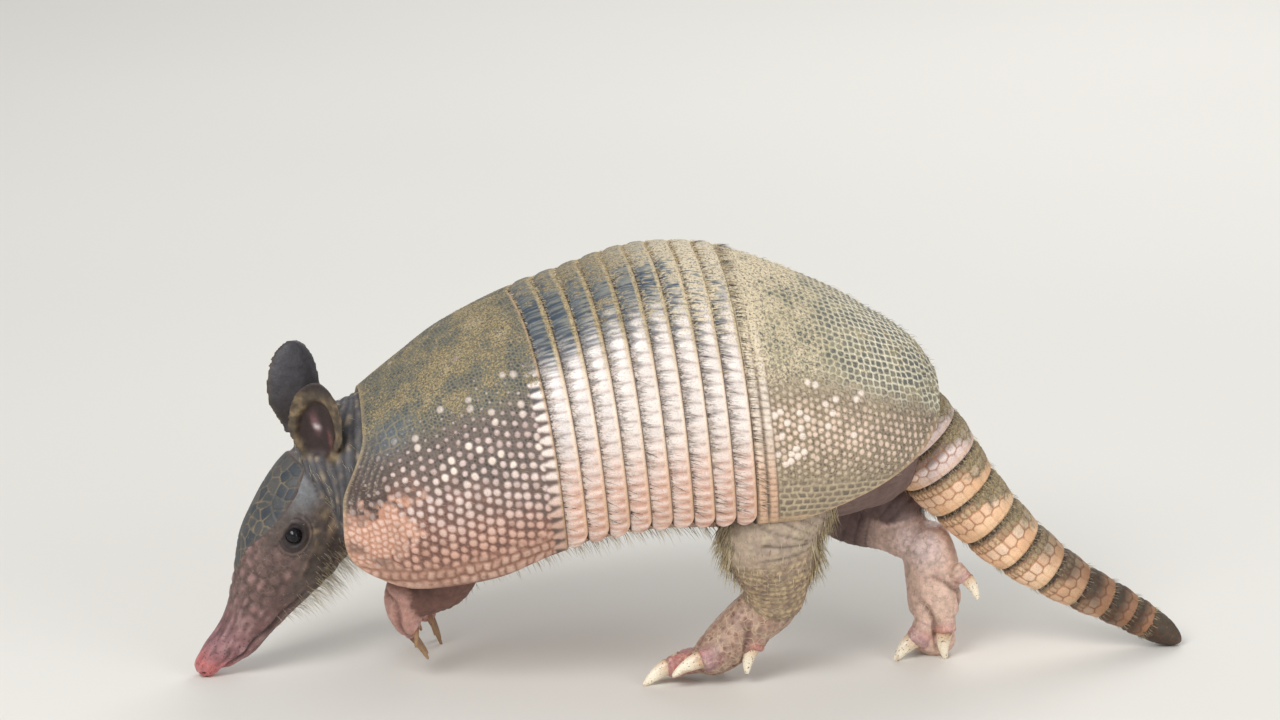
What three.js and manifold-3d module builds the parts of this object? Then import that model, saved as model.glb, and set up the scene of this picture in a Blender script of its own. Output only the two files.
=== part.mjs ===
// A young nine-banded armadillo as a still, life-size model: walking, with its nose on the ground.
// Millimetres, +Z up. It walks towards -X, and its left side is towards -Y. The ground is z = 0.
// The shapes are built about the trunk's own lengthwise place x, and the whole animal is then moved so that
// the middle of the bottom of its bounding box is the origin.
import * as THREE from "three";
import { mergeVertices } from "three/addons/utils/BufferGeometryUtils.js";
import Module from "manifold-3d";

const wasm = await Module();
wasm.setup();

// ---------------------------------------------------------------- driving sizes
const GAP = 0.3; // between neighbouring pieces
const SHELL = 2.6; // thickness of the bony shell
const FLESH_INSET = 4.2; // from the shell's outside to the flesh under it
const SHELL_ARC = 120; // degrees from the ridge of the back to the shell's lower margin
const SHELL_RIM = 1.2; // how much thinner the shell gets towards its lower margins
const BANDS = 9;
const BAND_STEP = 0.9; // how far a band's rear edge stands over the front of the next one
const TAIL_RINGS = 10;
const RINGS_SHARE = 0.84; // of the tail's length; the tip has no rings
const RING_GAP = 0.0022; // between two rings, as a share of the tail's length
const HEAD_LENGTH = 100; // from the nose tip to the back of the skull

// The trunk's cross-section along x: half-width, top of the back, height of the widest level,
// lower margin of the shell, and belly.
const TRUNK = [
  { x: -124, width: 33, top: 103, mid: 75, margin: 45, belly: 46 },
  { x: -113, width: 37.5, top: 113, mid: 76.5, margin: 44.5, belly: 42 },
  { x: -95, width: 46.5, top: 127.5, mid: 83, margin: 44, belly: 38 },
  { x: -80, width: 52, top: 139, mid: 87, margin: 45.5, belly: 38 },
  { x: -56, width: 57, top: 151.5, mid: 93, margin: 51, belly: 42 },
  { x: -34, width: 59.5, top: 160, mid: 96.5, margin: 61, belly: 49 },
  { x: -8, width: 61, top: 169, mid: 100, margin: 68, belly: 56 },
  { x: 10, width: 61.5, top: 171, mid: 101, margin: 70.5, belly: 58 },
  { x: 28, width: 61.5, top: 169.5, mid: 101, margin: 71, belly: 58 },
  { x: 48, width: 60, top: 163.5, mid: 100.5, margin: 72, belly: 59 },
  { x: 65, width: 57, top: 156.5, mid: 99, margin: 72.5, belly: 60 },
  { x: 79, width: 53, top: 150, mid: 97.5, margin: 73.5, belly: 61 },
  { x: 90, width: 48, top: 143.5, mid: 95.5, margin: 75, belly: 63 },
  { x: 100, width: 40.5, top: 137.5, mid: 94, margin: 76.5, belly: 65 },
  { x: 109, width: 30.5, top: 130, mid: 92.5, margin: 78, belly: 68 },
  { x: 117.5, width: 19, top: 118, mid: 91, margin: 79.5, belly: 72 },
];

// The head along its axis, t behind the nose tip: half-width, and the heights of its top and underside
// above the line through the nose tip.
const HEAD = [
  { t: -4.5, width: 0, top: -3.4, under: -3.4 },
  { t: -3.2, width: 3.3, top: 0, under: -6.6 },
  { t: 0, width: 4.9, top: 1.4, under: -8 },
  { t: 5, width: 5.6, top: 1.7, under: -10.8 },
  { t: 10, width: 7.2, top: 1.5, under: -15.2 },
  { t: 16, width: 8.8, top: 1.2, under: -17.6 },
  { t: 24, width: 10.4, top: 2, under: -18.6 },
  { t: 34, width: 12.6, top: 5.6, under: -20.8 },
  { t: 45, width: 15.6, top: 10.8, under: -23.6 },
  { t: 54, width: 17.6, top: 14, under: -25.8 },
  { t: 64, width: 18.8, top: 15.6, under: -27.4 },
  { t: 76, width: 19.6, top: 16.4, under: -27.8 },
  { t: 88, width: 18.6, top: 15.2, under: -25.5 },
  { t: 97, width: 14.5, top: 10.6, under: -20 },
  { t: HEAD_LENGTH + 2, width: 8, top: 4, under: -13 },
  { t: HEAD_LENGTH + 4, width: 0, top: -4, under: -4 },
];
const NOSE = new THREE.Vector3(-175, -11.2, 6.1); // the nose tip, which touches the ground
const MOUTH = { front: 3.5, back: 47, lip: -8.6, corner: -15 }; // its two ends and their heights
const EYE = { radius: 3.6, back: 65, aside: 15.4, up: 3.6 }; // from the nose tip, in the head's axes
const BROW = { front: 40, back: 90, thick: 1.4, out: 0.6 }; // the plated shield between eyes and ears
const HEAD_TURN = 12.5; // degrees that the head is turned to its left
const HEAD_PITCH = 56; // degrees that it points down
const HEAD_ROLL = 10; // degrees that its crown leans to its left

// The tail's centre line and its thickness, from the root to the blunt tip.
const TAIL = [
  { x: 103, y: 0, z: 99, r: 18.2 },
  { x: 115, y: 0.3, z: 85.3, r: 17.6 },
  { x: 130, y: 0.9, z: 66.5, r: 14.7 },
  { x: 150, y: 2, z: 46, r: 12.2 },
  { x: 172, y: 3.9, z: 29.6, r: 9.4 },
  { x: 192, y: 5.8, z: 18.2, r: 7.6 },
  { x: 207, y: 7, z: 9, r: 6.2 },
  { x: 219, y: 8, z: 1.4, r: 4.4 },
];

// Legs and feet are lofts through stations: centre, half-thickness fore and aft, half-thickness sideways.
const LEGS = {
  fl: [
    [-80, -26, 72, 0, 0],
    [-79, -27, 68, 11, 9],
    [-76, -26, 54, 13, 9],
    [-77, -24, 41, 11.5, 8.5],
    [-86, -21.5, 35.5, 9, 8],
    [-92, -19.5, 35, 8, 7.6],
    [-94, -18.5, 34, 0, 0],
  ],
  fr: [
    [-78, 27, 72, 0, 0],
    [-77, 28, 68, 11, 9],
    [-75, 29, 54, 12, 9],
    [-78, 28.5, 42, 9.5, 8],
    [-84.5, 28, 32, 7.6, 7.5],
    [-86, 28, 27, 6.4, 7],
    [-86, 28, 25, 0, 0],
  ],
  hl: [
    [62, -33, 92, 0, 0],
    [60, -34, 86, 17, 12],
    [49.5, -36.5, 67, 19.5, 15],
    [50.5, -34.5, 53, 18.2, 14],
    [51.5, -30.5, 40, 13, 11],
    [50.5, -27, 31, 10.6, 9.4],
    [49, -26, 27, 0, 0],
  ],
  hr: [
    [64, 31, 92, 0, 0],
    [66, 31.5, 86, 17, 13],
    [73, 31, 70, 18, 14],
    [86, 25, 55.5, 15, 12],
    [101, 16, 50, 10.8, 10],
    [111, 10, 46.5, 9.4, 9],
    [115, 8, 45, 0, 0],
  ],
};

// Each foot: a palm or sole, then its toes, then their claws. A toe goes from a knuckle to the claw's root,
// and a claw from that root to its tip.
const FEET = {
  fl: {
    sole: [
      [-93, -20, 43, 0, 0],
      [-93.6, -20, 39.5, 7.4, 8],
      [-94.2, -19.5, 32, 7.6, 9],
      [-92.8, -19, 25, 6, 8.6],
      [-91.6, -18.6, 21, 4, 7.2],
      [-91.2, -18.5, 19, 0, 0],
    ],
    toes: [
      { knuckle: [-91, -24.5, 31], root: [-89.6, -25, 24], tip: [-89.6, -25.5, 15.2], r: 3.3 },
      { knuckle: [-93, -21, 25], root: [-91.6, -20.2, 18.4], tip: [-84.6, -20, 8.4], r: 4.3 },
      { knuckle: [-93, -15.5, 25], root: [-91.4, -15, 18], tip: [-84.8, -14.4, 8.8], r: 4.1 },
      { knuckle: [-92, -12, 30], root: [-90.5, -11.4, 24], tip: [-87.2, -11, 17.4], r: 3 },
    ],
  },
  fr: {
    sole: [
      [-85.5, 28, 34, 0, 0],
      [-86, 28, 31, 6, 7.8],
      [-86.6, 28, 23, 6, 8.6],
      [-85.8, 28, 16, 5.4, 8.4],
      [-84.8, 28, 11, 3.8, 7.2],
      [-84.4, 28, 9, 0, 0],
    ],
    toes: [
      { knuckle: [-84.5, 21, 20.5], root: [-84, 19.8, 14], tip: [-81.6, 19, 5.4], r: 3 },
      { knuckle: [-85, 25, 17], root: [-84, 24.6, 11], tip: [-79, 24.4, -0.6], r: 4.1 },
      { knuckle: [-85, 31, 17], root: [-84, 31, 11], tip: [-79.4, 31.4, -0.6], r: 4.2 },
      { knuckle: [-84.5, 35, 20.5], root: [-83.8, 35.6, 14], tip: [-81.8, 36.6, 5], r: 3.2 },
    ],
  },
  hl: {
    sole: [
      [58, -25, 38, 0, 0],
      [53, -25.5, 33, 9.6, 8.8],
      [43, -26.5, 25, 10.4, 9.6],
      [32, -26.5, 14.4, 9.4, 10],
      [24, -26.5, 8.4, 6.6, 9.2],
      [20, -26.5, 6.6, 0, 0],
    ],
    toes: [
      { knuckle: [40, -17.5, 16], root: [36.5, -15.6, 9.4], tip: [31, -14.6, 1], r: 4.2 },
      { knuckle: [26, -20.6, 8.8], root: [16.5, -19, 6.2], tip: [5.5, -18, -0.5], r: 5 },
      { knuckle: [24, -27, 9], root: [10.8, -29, 6.6], tip: [-0.6, -32, -0.5], r: 5.2 },
      { knuckle: [33, -32, 15], root: [23.4, -34.6, 11], tip: [10.6, -36.6, 5], r: 5.4 },
      { knuckle: [46, -30.5, 21.5], root: [43.4, -32, 15.4], tip: [40.4, -33.4, 4.4], r: 4.6 },
    ],
  },
  hr: {
    sole: [
      [112.5, 9, 54, 0, 0],
      [113.5, 8.5, 50, 8, 8],
      [116.5, 6.5, 40, 10.6, 9.4],
      [118, 4.5, 28, 10.8, 10.8],
      [118.5, 4.5, 17, 9.4, 10.6],
      [118.5, 4.5, 12, 0, 0],
    ],
    toes: [
      { knuckle: [125, -2.5, 38], root: [129.2, -4, 33.4], tip: [134.8, -5.6, 24.8], r: 4 },
      { knuckle: [121.5, -2.5, 19], root: [122.6, -4.4, 11.6], tip: [122.4, -4.4, -0.6], r: 4.8 },
      { knuckle: [115.5, -0.5, 15], root: [110.4, -3, 7.2], tip: [101.4, -6.6, -0.6], r: 5.4 },
      { knuckle: [118, 9.5, 17], root: [116.4, 10.6, 9], tip: [112, 11.4, -0.6], r: 5 },
      { knuckle: [121, 13.5, 24], root: [119.6, 15.4, 16], tip: [116.6, 16.6, 5.6], r: 4 },
    ],
    pads: [{ at: [118.5, 2.5, 6.1], size: [8.6, 6.4, 6.9] }],
  },
};

// ---------------------------------------------------------------- colours
const COLOUR = {
  shell: "#a08f72",
  band: "#d9b48c",
  tail: "#c9925f",
  hide: "#8c7468",
  head: "#7c675f",
  shield: "#6b6a66",
  ear: "#5a4a46",
  eye: "#14161c",
  claw: "#e3cfa6",
};
const finish = (color, roughness = 0.7) =>
  new THREE.MeshStandardMaterial({ color, roughness, metalness: 0 });

// ---------------------------------------------------------------- sums
const rad = THREE.MathUtils.degToRad;
const lerp = THREE.MathUtils.lerp;
const clamp01 = (v) => Math.min(1, Math.max(0, v));
const smooth = (a, b, v) => {
  const t = clamp01((v - a) / (b - a));
  return t * t * (3 - 2 * t);
};

// The value of rows' field `key` at place `at` of field `by`, on a smooth curve through the rows.
function along(rows, by, key, at) {
  const last = rows.length - 1;
  let i = 0;
  while (i < last - 1 && rows[i + 1][by] <= at) i++;
  const slope = (j) => {
    const a = rows[Math.max(0, j - 1)];
    const b = rows[Math.min(last, j + 1)];
    return (b[key] - a[key]) / (b[by] - a[by]);
  };
  const [p, q] = [rows[i], rows[i + 1]];
  const h = q[by] - p[by];
  const t = clamp01((at - p[by]) / h);
  const [t2, t3] = [t * t, t * t * t];
  return (
    (2 * t3 - 3 * t2 + 1) * p[key] +
    (t3 - 2 * t2 + t) * h * slope(i) +
    (3 * t2 - 2 * t3) * q[key] +
    (t3 - t2) * h * slope(i + 1)
  );
}

// ---------------------------------------------------------------- solids
function merged(geometry) {
  geometry.deleteAttribute("normal");
  geometry.deleteAttribute("uv");
  return mergeVertices(geometry, 1e-4);
}

function solidOf(geometry) {
  const g = merged(geometry);
  return new wasm.Manifold(
    new wasm.Mesh({
      numProp: 3,
      vertProperties: new Float32Array(g.attributes.position.array),
      triVerts: new Uint32Array(g.index.array),
    }),
  );
}

function geometryOf(solid) {
  const m = solid.getMesh();
  const g = new THREE.BufferGeometry();
  g.setAttribute("position", new THREE.BufferAttribute(m.vertProperties, 3));
  g.setIndex(new THREE.BufferAttribute(m.triVerts, 1));
  return g;
}

// A base geometry with each vertex moved to place(x, y, z).
function remapped(geometry, place) {
  const p = geometry.attributes.position;
  const v = new THREE.Vector3();
  for (let i = 0; i < p.count; i++) {
    v.fromBufferAttribute(p, i);
    const w = place(v);
    p.setXYZ(i, w.x, w.y, w.z);
  }
  return geometry;
}

// A round body: place(u, angle) gives its surface, u from 0 at one pole to 1 at the other.
function roundBody(around, lengthwise, place) {
  const ball = new THREE.SphereGeometry(1, around, lengthwise);
  return solidOf(
    remapped(ball, (v) => {
      const polar = Math.acos(THREE.MathUtils.clamp(v.y, -1, 1));
      return place(polar / Math.PI, Math.atan2(-v.z, v.x));
    }),
  );
}

// A curved plate: place(a, b, c), each from 0 to 1, c through its thickness.
function plate(na, nb, place) {
  const box = new THREE.BoxGeometry(1, 1, 1, na, nb, 1);
  return solidOf(remapped(box, (v) => place(v.x + 0.5, v.y + 0.5, v.z + 0.5)));
}

// What touches the ground is cut to a small flat at z = 0.
const onGround = (solid) => largest(solid.trimByPlane([0, 0, 1], 0));

const largest = (solid) =>
  solid
    .decompose()
    .reduce((best, s) => (s.volume() > best.volume() ? s : best));

function cut(solid, ...tools) {
  return largest(tools.reduce((left, tool) => left.subtract(tool), solid));
}

// ---------------------------------------------------------------- the shell's surface
// A point of the trunk's surface at place x and `degrees` from the ridge, positive on the left,
// sunk by `inset`.
function trunkPoint(x, degrees, inset) {
  const at = (key) => along(TRUNK, "x", key, x);
  const [width, top, mid] = [at("width") - inset, at("top") - inset, at("mid")];
  const a = rad(degrees);
  const down = 2 * (mid - at("margin"));
  const z = Math.abs(degrees) < 90 ? mid + (top - mid) * Math.cos(a) : mid + down * Math.cos(a);
  return new THREE.Vector3(x, -width * Math.sin(a), z);
}

// The edges of the shell's pieces, as x over the angle from the ridge.
const SKEW = 2.5; // the walking trunk is bent a little, so the bands lie askew
const skew = (degrees) => SKEW * Math.sin(rad(degrees));
function frontEdge(degrees) {
  const a = Math.abs(degrees);
  return -111.5 - 8.5 * smooth(48, 88, a) + 29 * (a / SHELL_ARC) ** 26 + skew(degrees);
}
function bandEdge(i, degrees) {
  const lean = (15.3 - 0.7 * i) * (1 - Math.cos(rad(degrees))) ** 0.6;
  return -52 + 9.03 * i + lean + skew(degrees);
}
function rearEdge(degrees) {
  return 117 - 60 * Math.abs(degrees / SHELL_ARC) ** 6 + skew(degrees) / 2;
}

// A piece of the shell between two edges. Its outside is sunk by `sunk` at its front edge.
function shellPiece(lengthwise, around, from, to, sunk) {
  return plate(lengthwise, around, (a, b, c) => {
    const degrees = lerp(SHELL_ARC, -SHELL_ARC, b);
    const x = lerp(from(degrees), to(degrees), a);
    const rim = SHELL_RIM * smooth(0.9, 1, Math.abs(2 * b - 1));
    const outer = lerp(sunk, 0, clamp01(a * 3)) + rim;
    return trunkPoint(x, degrees, c > 0.5 ? outer : SHELL);
  });
}

// ---------------------------------------------------------------- flesh
function trunkBody(grow) {
  const [rear, front] = [111, -109];
  return roundBody(18, 15, (u, angle) => {
    const end = Math.abs(2 * u - 1);
    const x = lerp(rear + grow, front - grow, (1 - Math.cos(u * Math.PI)) / 2);
    const full = (1 - end ** 5) ** (1 / 2.2);
    const at = (key) => along(TRUNK, "x", key, x);
    const inset = FLESH_INSET - grow;
    const mid = at("mid");
    const height = Math.cos(angle) > 0 ? at("top") - inset - mid : mid - at("belly") + grow;
    const side = (at("width") - inset) * full * Math.sin(angle);
    return new THREE.Vector3(x, -side, mid + height * full * Math.cos(angle));
  });
}

// A limb or neck: stations [x, y, z, fore-and-aft, sideways], the first and last of them its poles.
function limb(stations, around, grow = 0) {
  const rows = stations.map(([x, y, z, fore, side], i) => ({ i, x, y, z, fore, side }));
  const last = rows.length - 1;
  const centre = (i) =>
    new THREE.Vector3(...["x", "y", "z"].map((key) => along(rows, "i", key, i)));
  return roundBody(around, last, (u, angle) => {
    const i = u * last;
    const ahead = centre(Math.min(last, i + 0.2));
    const axis = ahead.sub(centre(Math.max(0, i - 0.2))).normalize();
    const across = new THREE.Vector3(0, 1, 0).addScaledVector(axis, -axis.y).normalize();
    const fore = new THREE.Vector3().crossVectors(axis, across);
    const pole = u === 0 || u === 1;
    const size = (key) => (pole ? 0 : Math.max(1, along(rows, "i", key, i)) + grow);
    return centre(i)
      .addScaledVector(axis, pole ? (u === 0 ? -grow : grow) : 0)
      .addScaledVector(fore, size("fore") * Math.cos(angle))
      .addScaledVector(across, size("side") * Math.sin(angle));
  });
}

// A toe, or a claw: a tapering round bar from one point to another.
function bar(from, to, r0, r1, around, steps, bend, grow = 0) {
  const [a, b] = [new THREE.Vector3(...from), new THREE.Vector3(...to)];
  const axis = b.clone().sub(a).normalize();
  const across = new THREE.Vector3(0, 1, 0).addScaledVector(axis, -axis.y).normalize();
  const fore = new THREE.Vector3().crossVectors(axis, across);
  return roundBody(around, steps, (u, angle) => {
    const r = lerp(r0, r1, u) * Math.sqrt(clamp01(1 - (2 * u - 1) ** 8)) + (u % 1 ? grow : 0);
    return a
      .clone()
      .lerp(b, u)
      .addScaledVector(axis, (2 * u - 1) * grow)
      .addScaledVector(fore, r * Math.cos(angle) + bend * Math.sin(u * Math.PI))
      .addScaledVector(across, r * Math.sin(angle));
  });
}

// The head's own axes: `back` along it from the nose, `right` and `up`.
const headAxes = (() => {
  const [turn, pitch, roll] = [rad(HEAD_TURN), rad(HEAD_PITCH), rad(HEAD_ROLL)];
  const forward = new THREE.Vector3(
    -Math.cos(turn) * Math.cos(pitch),
    -Math.sin(turn) * Math.cos(pitch),
    -Math.sin(pitch),
  );
  const right = new THREE.Vector3(-Math.sin(turn), Math.cos(turn), 0);
  right.applyAxisAngle(forward, -roll);
  return {
    back: forward.clone().negate(),
    right,
    up: new THREE.Vector3().crossVectors(right, forward),
  };
})();
const headPoint = (t, right, up) =>
  NOSE.clone()
    .addScaledVector(headAxes.back, t)
    .addScaledVector(headAxes.right, right)
    .addScaledVector(headAxes.up, up);

// The head's surface `t` behind the nose tip, at an angle from its crown towards its right side.
function headSurface(t, angle, grow) {
  const at = (key) => along(HEAD, "t", key, t);
  const [top, under] = [at("top"), at("under")];
  const pole = t <= HEAD[0].t || t >= HEAD.at(-1).t;
  const width = pole ? 0 : Math.max(0.6, at("width")) + grow;
  const half = pole ? 0 : Math.max(0.6, (top - under) / 2) + grow;
  return headPoint(t, width * Math.sin(angle), (top + under) / 2 + half * Math.cos(angle));
}
function headBody(grow) {
  return roundBody(18, HEAD.length - 1, (u, angle) => {
    const place = u * (HEAD.length - 1);
    return headSurface(HEAD[Math.round(place)].t, angle, grow);
  });
}

// The space of the lower jaw: all of the head below the line of the mouth, back to the jaw's corner.
function jawZone(grow) {
  const { front, back, lip, corner } = MOUTH;
  return plate(1, 1, (a, b, c) => {
    const t = lerp(front - grow, back + grow, a);
    const up = c > 0.5 ? lerp(lip, corner, a) + grow : -2 * HEAD_LENGTH;
    return headPoint(t, lerp(-HEAD_LENGTH, HEAD_LENGTH, b), up);
  });
}

function neckBody(grow) {
  return limb(
    [
      [-134, -1, 78, 0, 0],
      [-131, -0.5, 79, 17, 16],
      [-122, 0, 80, 24.5, 22],
      [-112, 0, 79, 28, 28],
      [-100, 0, 80, 30, 33],
      [-96, 0, 80, 0, 0],
    ],
    14,
    grow,
  );
}

// An ear: a cupped leaf, rooted on the head, standing up along `up` and open towards `open`.
// `widest` is the share of its length where it is widest, and `end` how wide its tip is beside that.
const EAR = { length: 37, width: 11.8, thick: 1.7, cup: 5, widest: 0.42, end: 0.12 };
const EARS = {
  left: { root: [95, -13, 10.5], up: [0, -0.3, 0.95], open: [-0.36, -0.93, 0] },
  right: { root: [98.5, 10.5, 12.5], up: [-0.06, 0.2, 0.98], open: [-0.45, 0.89, 0] },
};
function earHalfWidth(a) {
  const root = lerp(0.5, 1, smooth(0, EAR.widest, a));
  const past = Math.max(0, a - EAR.widest) / (1 - EAR.widest);
  return EAR.width * root * Math.max(EAR.end, Math.sqrt(clamp01(1 - past ** 2.4)));
}
function earBody(ear) {
  const root = headPoint(...ear.root);
  const up = new THREE.Vector3(...ear.up).normalize();
  const open = new THREE.Vector3(...ear.open);
  open.addScaledVector(up, -open.dot(up)).normalize();
  const wide = new THREE.Vector3().crossVectors(up, open);
  return plate(6, 4, (a, b, c) => {
    const across = 2 * b - 1;
    const half = earHalfWidth(a);
    const cup = EAR.cup * (across * across - 0.5) * (half / EAR.width);
    const rim = 1 - 0.45 * Math.abs(across) ** 3;
    const thick = EAR.thick * rim * (c - 0.5) * lerp(1.8, 0.8, a);
    return root
      .clone()
      .addScaledVector(up, EAR.length * a - 1)
      .addScaledVector(wide, half * across)
      .addScaledVector(open, cup - thick);
  });
}

// ---------------------------------------------------------------- tail
function tailPoint(s) {
  const rows = TAIL.map((row, i) => ({ ...row, i }));
  const i = s * (rows.length - 1);
  const at = (key) => along(rows, "i", key, i);
  return { centre: new THREE.Vector3(at("x"), at("y"), at("z")), r: at("r") };
}
// A ring or the tip, from place s0 to s1 of the tail; its rear edge flares over the next ring's front.
function tailPiece(s0, s1, flare, round) {
  const steps = round ? 4 : 1;
  const drum = new THREE.CylinderGeometry(1, 1, 1, 16, steps);
  return solidOf(
    remapped(drum, (v) => {
      const a = 0.5 - v.y;
      const s = lerp(s0, s1, a);
      const { centre, r } = tailPoint(s);
      const axis = tailPoint(Math.min(1, s + 0.01)).centre.sub(tailPoint(s - 0.01).centre);
      axis.normalize();
      const across = new THREE.Vector3(0, 1, 0).addScaledVector(axis, -axis.y).normalize();
      const up = new THREE.Vector3().crossVectors(across, axis);
      const end = round ? Math.sqrt(clamp01(1 - Math.max(0, a - 0.35) ** 2 / 0.43)) : 1;
      const out = (r + flare * (a - 0.5)) * end;
      return centre.addScaledVector(across, v.x * out).addScaledVector(up, -v.z * out);
    }),
  );
}

// ---------------------------------------------------------------- the animal
const solids = new Map(); // node name: { solid, material }
function add(name, solid, material) {
  solids.set(name, { solid, material });
  return solid;
}

// The shell's three parts.
const shield = finish(COLOUR.shell, 0.75);
const bandFinish = finish(COLOUR.band, 0.65);
const scapular = shellPiece(7, 20, frontEdge, (d) => bandEdge(0, d), 0);
add("scapular_shield", scapular, shield);
for (let i = 1; i <= BANDS; i++) {
  const band = shellPiece(
    1,
    16,
    (d) => bandEdge(i - 1, d) + GAP,
    (d) => bandEdge(i, d),
    BAND_STEP,
  );
  add("band_" + i, band, bandFinish);
}
const pelvic = shellPiece(8, 20, (d) => bandEdge(BANDS, d) + GAP, rearEdge, BAND_STEP);
add("pelvic_shield", pelvic, shield);

// What flesh and tail must stay clear of: the shell's whole thickness and a gap below it.
const shellZone = plate(14, 20, (a, b, c) => {
  const degrees = lerp(SHELL_ARC, -SHELL_ARC, b) * 1.02;
  const inner = degrees * 0.96;
  const x = lerp(frontEdge(inner) - 2 * GAP, rearEdge(inner) + 2 * GAP, a);
  return trunkPoint(x, degrees, c > 0.5 ? -6 : SHELL + 2 * GAP);
});

const headZone = headBody(GAP);
const trunkZone = trunkBody(GAP);
add("trunk", cut(trunkBody(0), headZone), finish(COLOUR.hide));

// Head and neck.
const eyes = { left: -1, right: 1 };
const eyeCentre = (side) => headPoint(EYE.back, side * EYE.aside, EYE.up);
const ball = (centre, r) => {
  const sphere = new THREE.SphereGeometry(r, 10, 6);
  return solidOf(sphere.translate(centre.x, centre.y, centre.z));
};
let head = headBody(0);
for (const [name, side] of Object.entries(eyes)) {
  const eye = ball(eyeCentre(side), EYE.radius);
  add("eye_" + name, eye, finish(COLOUR.eye, 0.1));
  head = head.subtract(ball(eyeCentre(side), EYE.radius + GAP));
}
// The head shield, wide over the brows and narrow on the snout, or the bed that it lies in.
function browPlate(grow, outer) {
  return plate(6, 4, (a, b, c) => {
    const t = lerp(BROW.front - grow, BROW.back + grow, a);
    const narrowed = Math.sqrt(1 - 0.35 * smooth(0.75, 1, a));
    const spread = lerp(14 + 4 * grow, 44 + 3 * grow, smooth(0, 0.55, a)) * narrowed;
    return headSurface(t, rad(lerp(-spread, spread, b)), c > 0.5 ? outer : BROW.out - BROW.thick - grow);
  });
}
const headShield = browPlate(0, BROW.out);
const shieldBed = browPlate(GAP, 3);
head = largest(head.subtract(shieldBed));
add("head", onGround(cut(head, jawZone(GAP))), finish(COLOUR.head));
add("lower_jaw", largest(headBody(0).intersect(jawZone(0))), finish(COLOUR.head));
add("head_shield", headShield, finish(COLOUR.shield));
for (const [name, ear] of Object.entries(EARS))
  add("ear_" + name, cut(earBody(ear), headZone, shieldBed, neckBody(GAP)), finish(COLOUR.ear));
add("neck", cut(neckBody(0), headZone, trunkZone, shellZone, shieldBed), finish(COLOUR.hide));

// Legs, feet and claws.
const soleOf = (foot, grow) => {
  const parts = [limb(foot.sole, 10, grow)];
  for (const { knuckle, root, r } of foot.toes)
    parts.push(bar(knuckle, root, r, r * 0.9, 6, 4, 0, grow));
  for (const { at, size } of foot.pads ?? []) {
    const pad = new THREE.SphereGeometry(1, 8, 5);
    pad.scale(...size.map((v) => v + grow));
    parts.push(solidOf(pad.translate(...at)));
  }
  return parts.reduce((all, part) => all.add(part));
};
for (const [name, stations] of Object.entries(LEGS)) {
  const foot = FEET[name];
  const footZone = soleOf(foot, GAP);
  add("leg_" + name, cut(limb(stations, 11), trunkZone, shellZone, footZone), finish(COLOUR.hide));
  add("foot_" + name, onGround(soleOf(foot, 0)), finish(COLOUR.hide, 0.6));
  foot.toes.forEach(({ root, tip, r }, i) => {
    const inside = root.map((v, k) => v - 0.12 * (tip[k] - v));
    const claw = bar(inside, tip, r * 0.74, 0.7, 6, 3, -0.08 * r);
    add(`claw_${name}_${i + 1}`, onGround(cut(claw, footZone)), finish(COLOUR.claw, 0.4));
  });
}

// Tail.
const tailFinish = finish(COLOUR.tail, 0.65);
const ringEnd = (i) => RINGS_SHARE * (i / TAIL_RINGS) ** 0.94;
for (let i = 0; i < TAIL_RINGS; i++) {
  const ring = tailPiece(ringEnd(i) + RING_GAP, ringEnd(i + 1), 1.4, false);
  const name = "tail_ring_" + String(i + 1).padStart(2, "0");
  add(name, i < 2 ? cut(ring, trunkZone, shellZone) : ring, tailFinish);
}
add("tail_tip", onGround(tailPiece(RINGS_SHARE + RING_GAP, 1, 0.6, true)), tailFinish);

// ---------------------------------------------------------------- the group
const armadillo = new THREE.Group();
for (const [name, { solid, material }] of solids) {
  const mesh = new THREE.Mesh(geometryOf(solid), material);
  mesh.name = name;
  armadillo.add(mesh);
}
const box = new THREE.Box3().setFromObject(armadillo);
const middle = box.getCenter(new THREE.Vector3());
armadillo.position.set(-middle.x, -middle.y, -box.min.z);

export default armadillo;
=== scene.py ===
"""A young nine-banded armadillo, walking with its nose on the ground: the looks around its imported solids.

Shapes are worked out in millimetres, in the frame that the solids were built in, and piece() moves them
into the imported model's frame. The animal walks towards -X, and its left side is towards -Y."""

import math

import bmesh
import bpy
import numpy as np
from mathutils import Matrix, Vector
from mathutils.kdtree import KDTree


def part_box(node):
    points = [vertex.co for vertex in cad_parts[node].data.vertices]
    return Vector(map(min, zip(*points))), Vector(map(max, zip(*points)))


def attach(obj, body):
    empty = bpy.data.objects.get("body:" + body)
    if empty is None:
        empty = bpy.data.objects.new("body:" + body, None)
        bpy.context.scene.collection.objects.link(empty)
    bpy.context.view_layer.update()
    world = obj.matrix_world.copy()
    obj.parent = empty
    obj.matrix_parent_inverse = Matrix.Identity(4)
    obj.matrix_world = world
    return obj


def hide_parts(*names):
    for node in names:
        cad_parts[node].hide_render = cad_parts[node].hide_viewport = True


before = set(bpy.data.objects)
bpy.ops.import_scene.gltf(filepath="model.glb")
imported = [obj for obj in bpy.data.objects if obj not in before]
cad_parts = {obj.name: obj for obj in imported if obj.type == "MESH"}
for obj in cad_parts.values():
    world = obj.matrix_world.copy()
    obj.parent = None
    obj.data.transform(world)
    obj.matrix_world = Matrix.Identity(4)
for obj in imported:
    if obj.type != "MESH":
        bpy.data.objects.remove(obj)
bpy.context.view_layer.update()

# ---------------------------------------------------------------- sizes, in millimetres
MM = 0.001
SHELL_ARC = 120.0  # degrees from the ridge of the back to the shell's lower margin
SHELL_RADIUS = 59  # for lengths round the bands; the front shield's is 1 less
MARGIN_DEGREE = 0.85  # the length of a degree near the shell's lower margin
BANDS = 9
BAND_PITCH = 9.03
TUCK = 2.4  # how far a band or the rear shield goes under the piece before it
SCUTE = 4.3  # from one band scute to the next
TAIL_RINGS = 10
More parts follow.
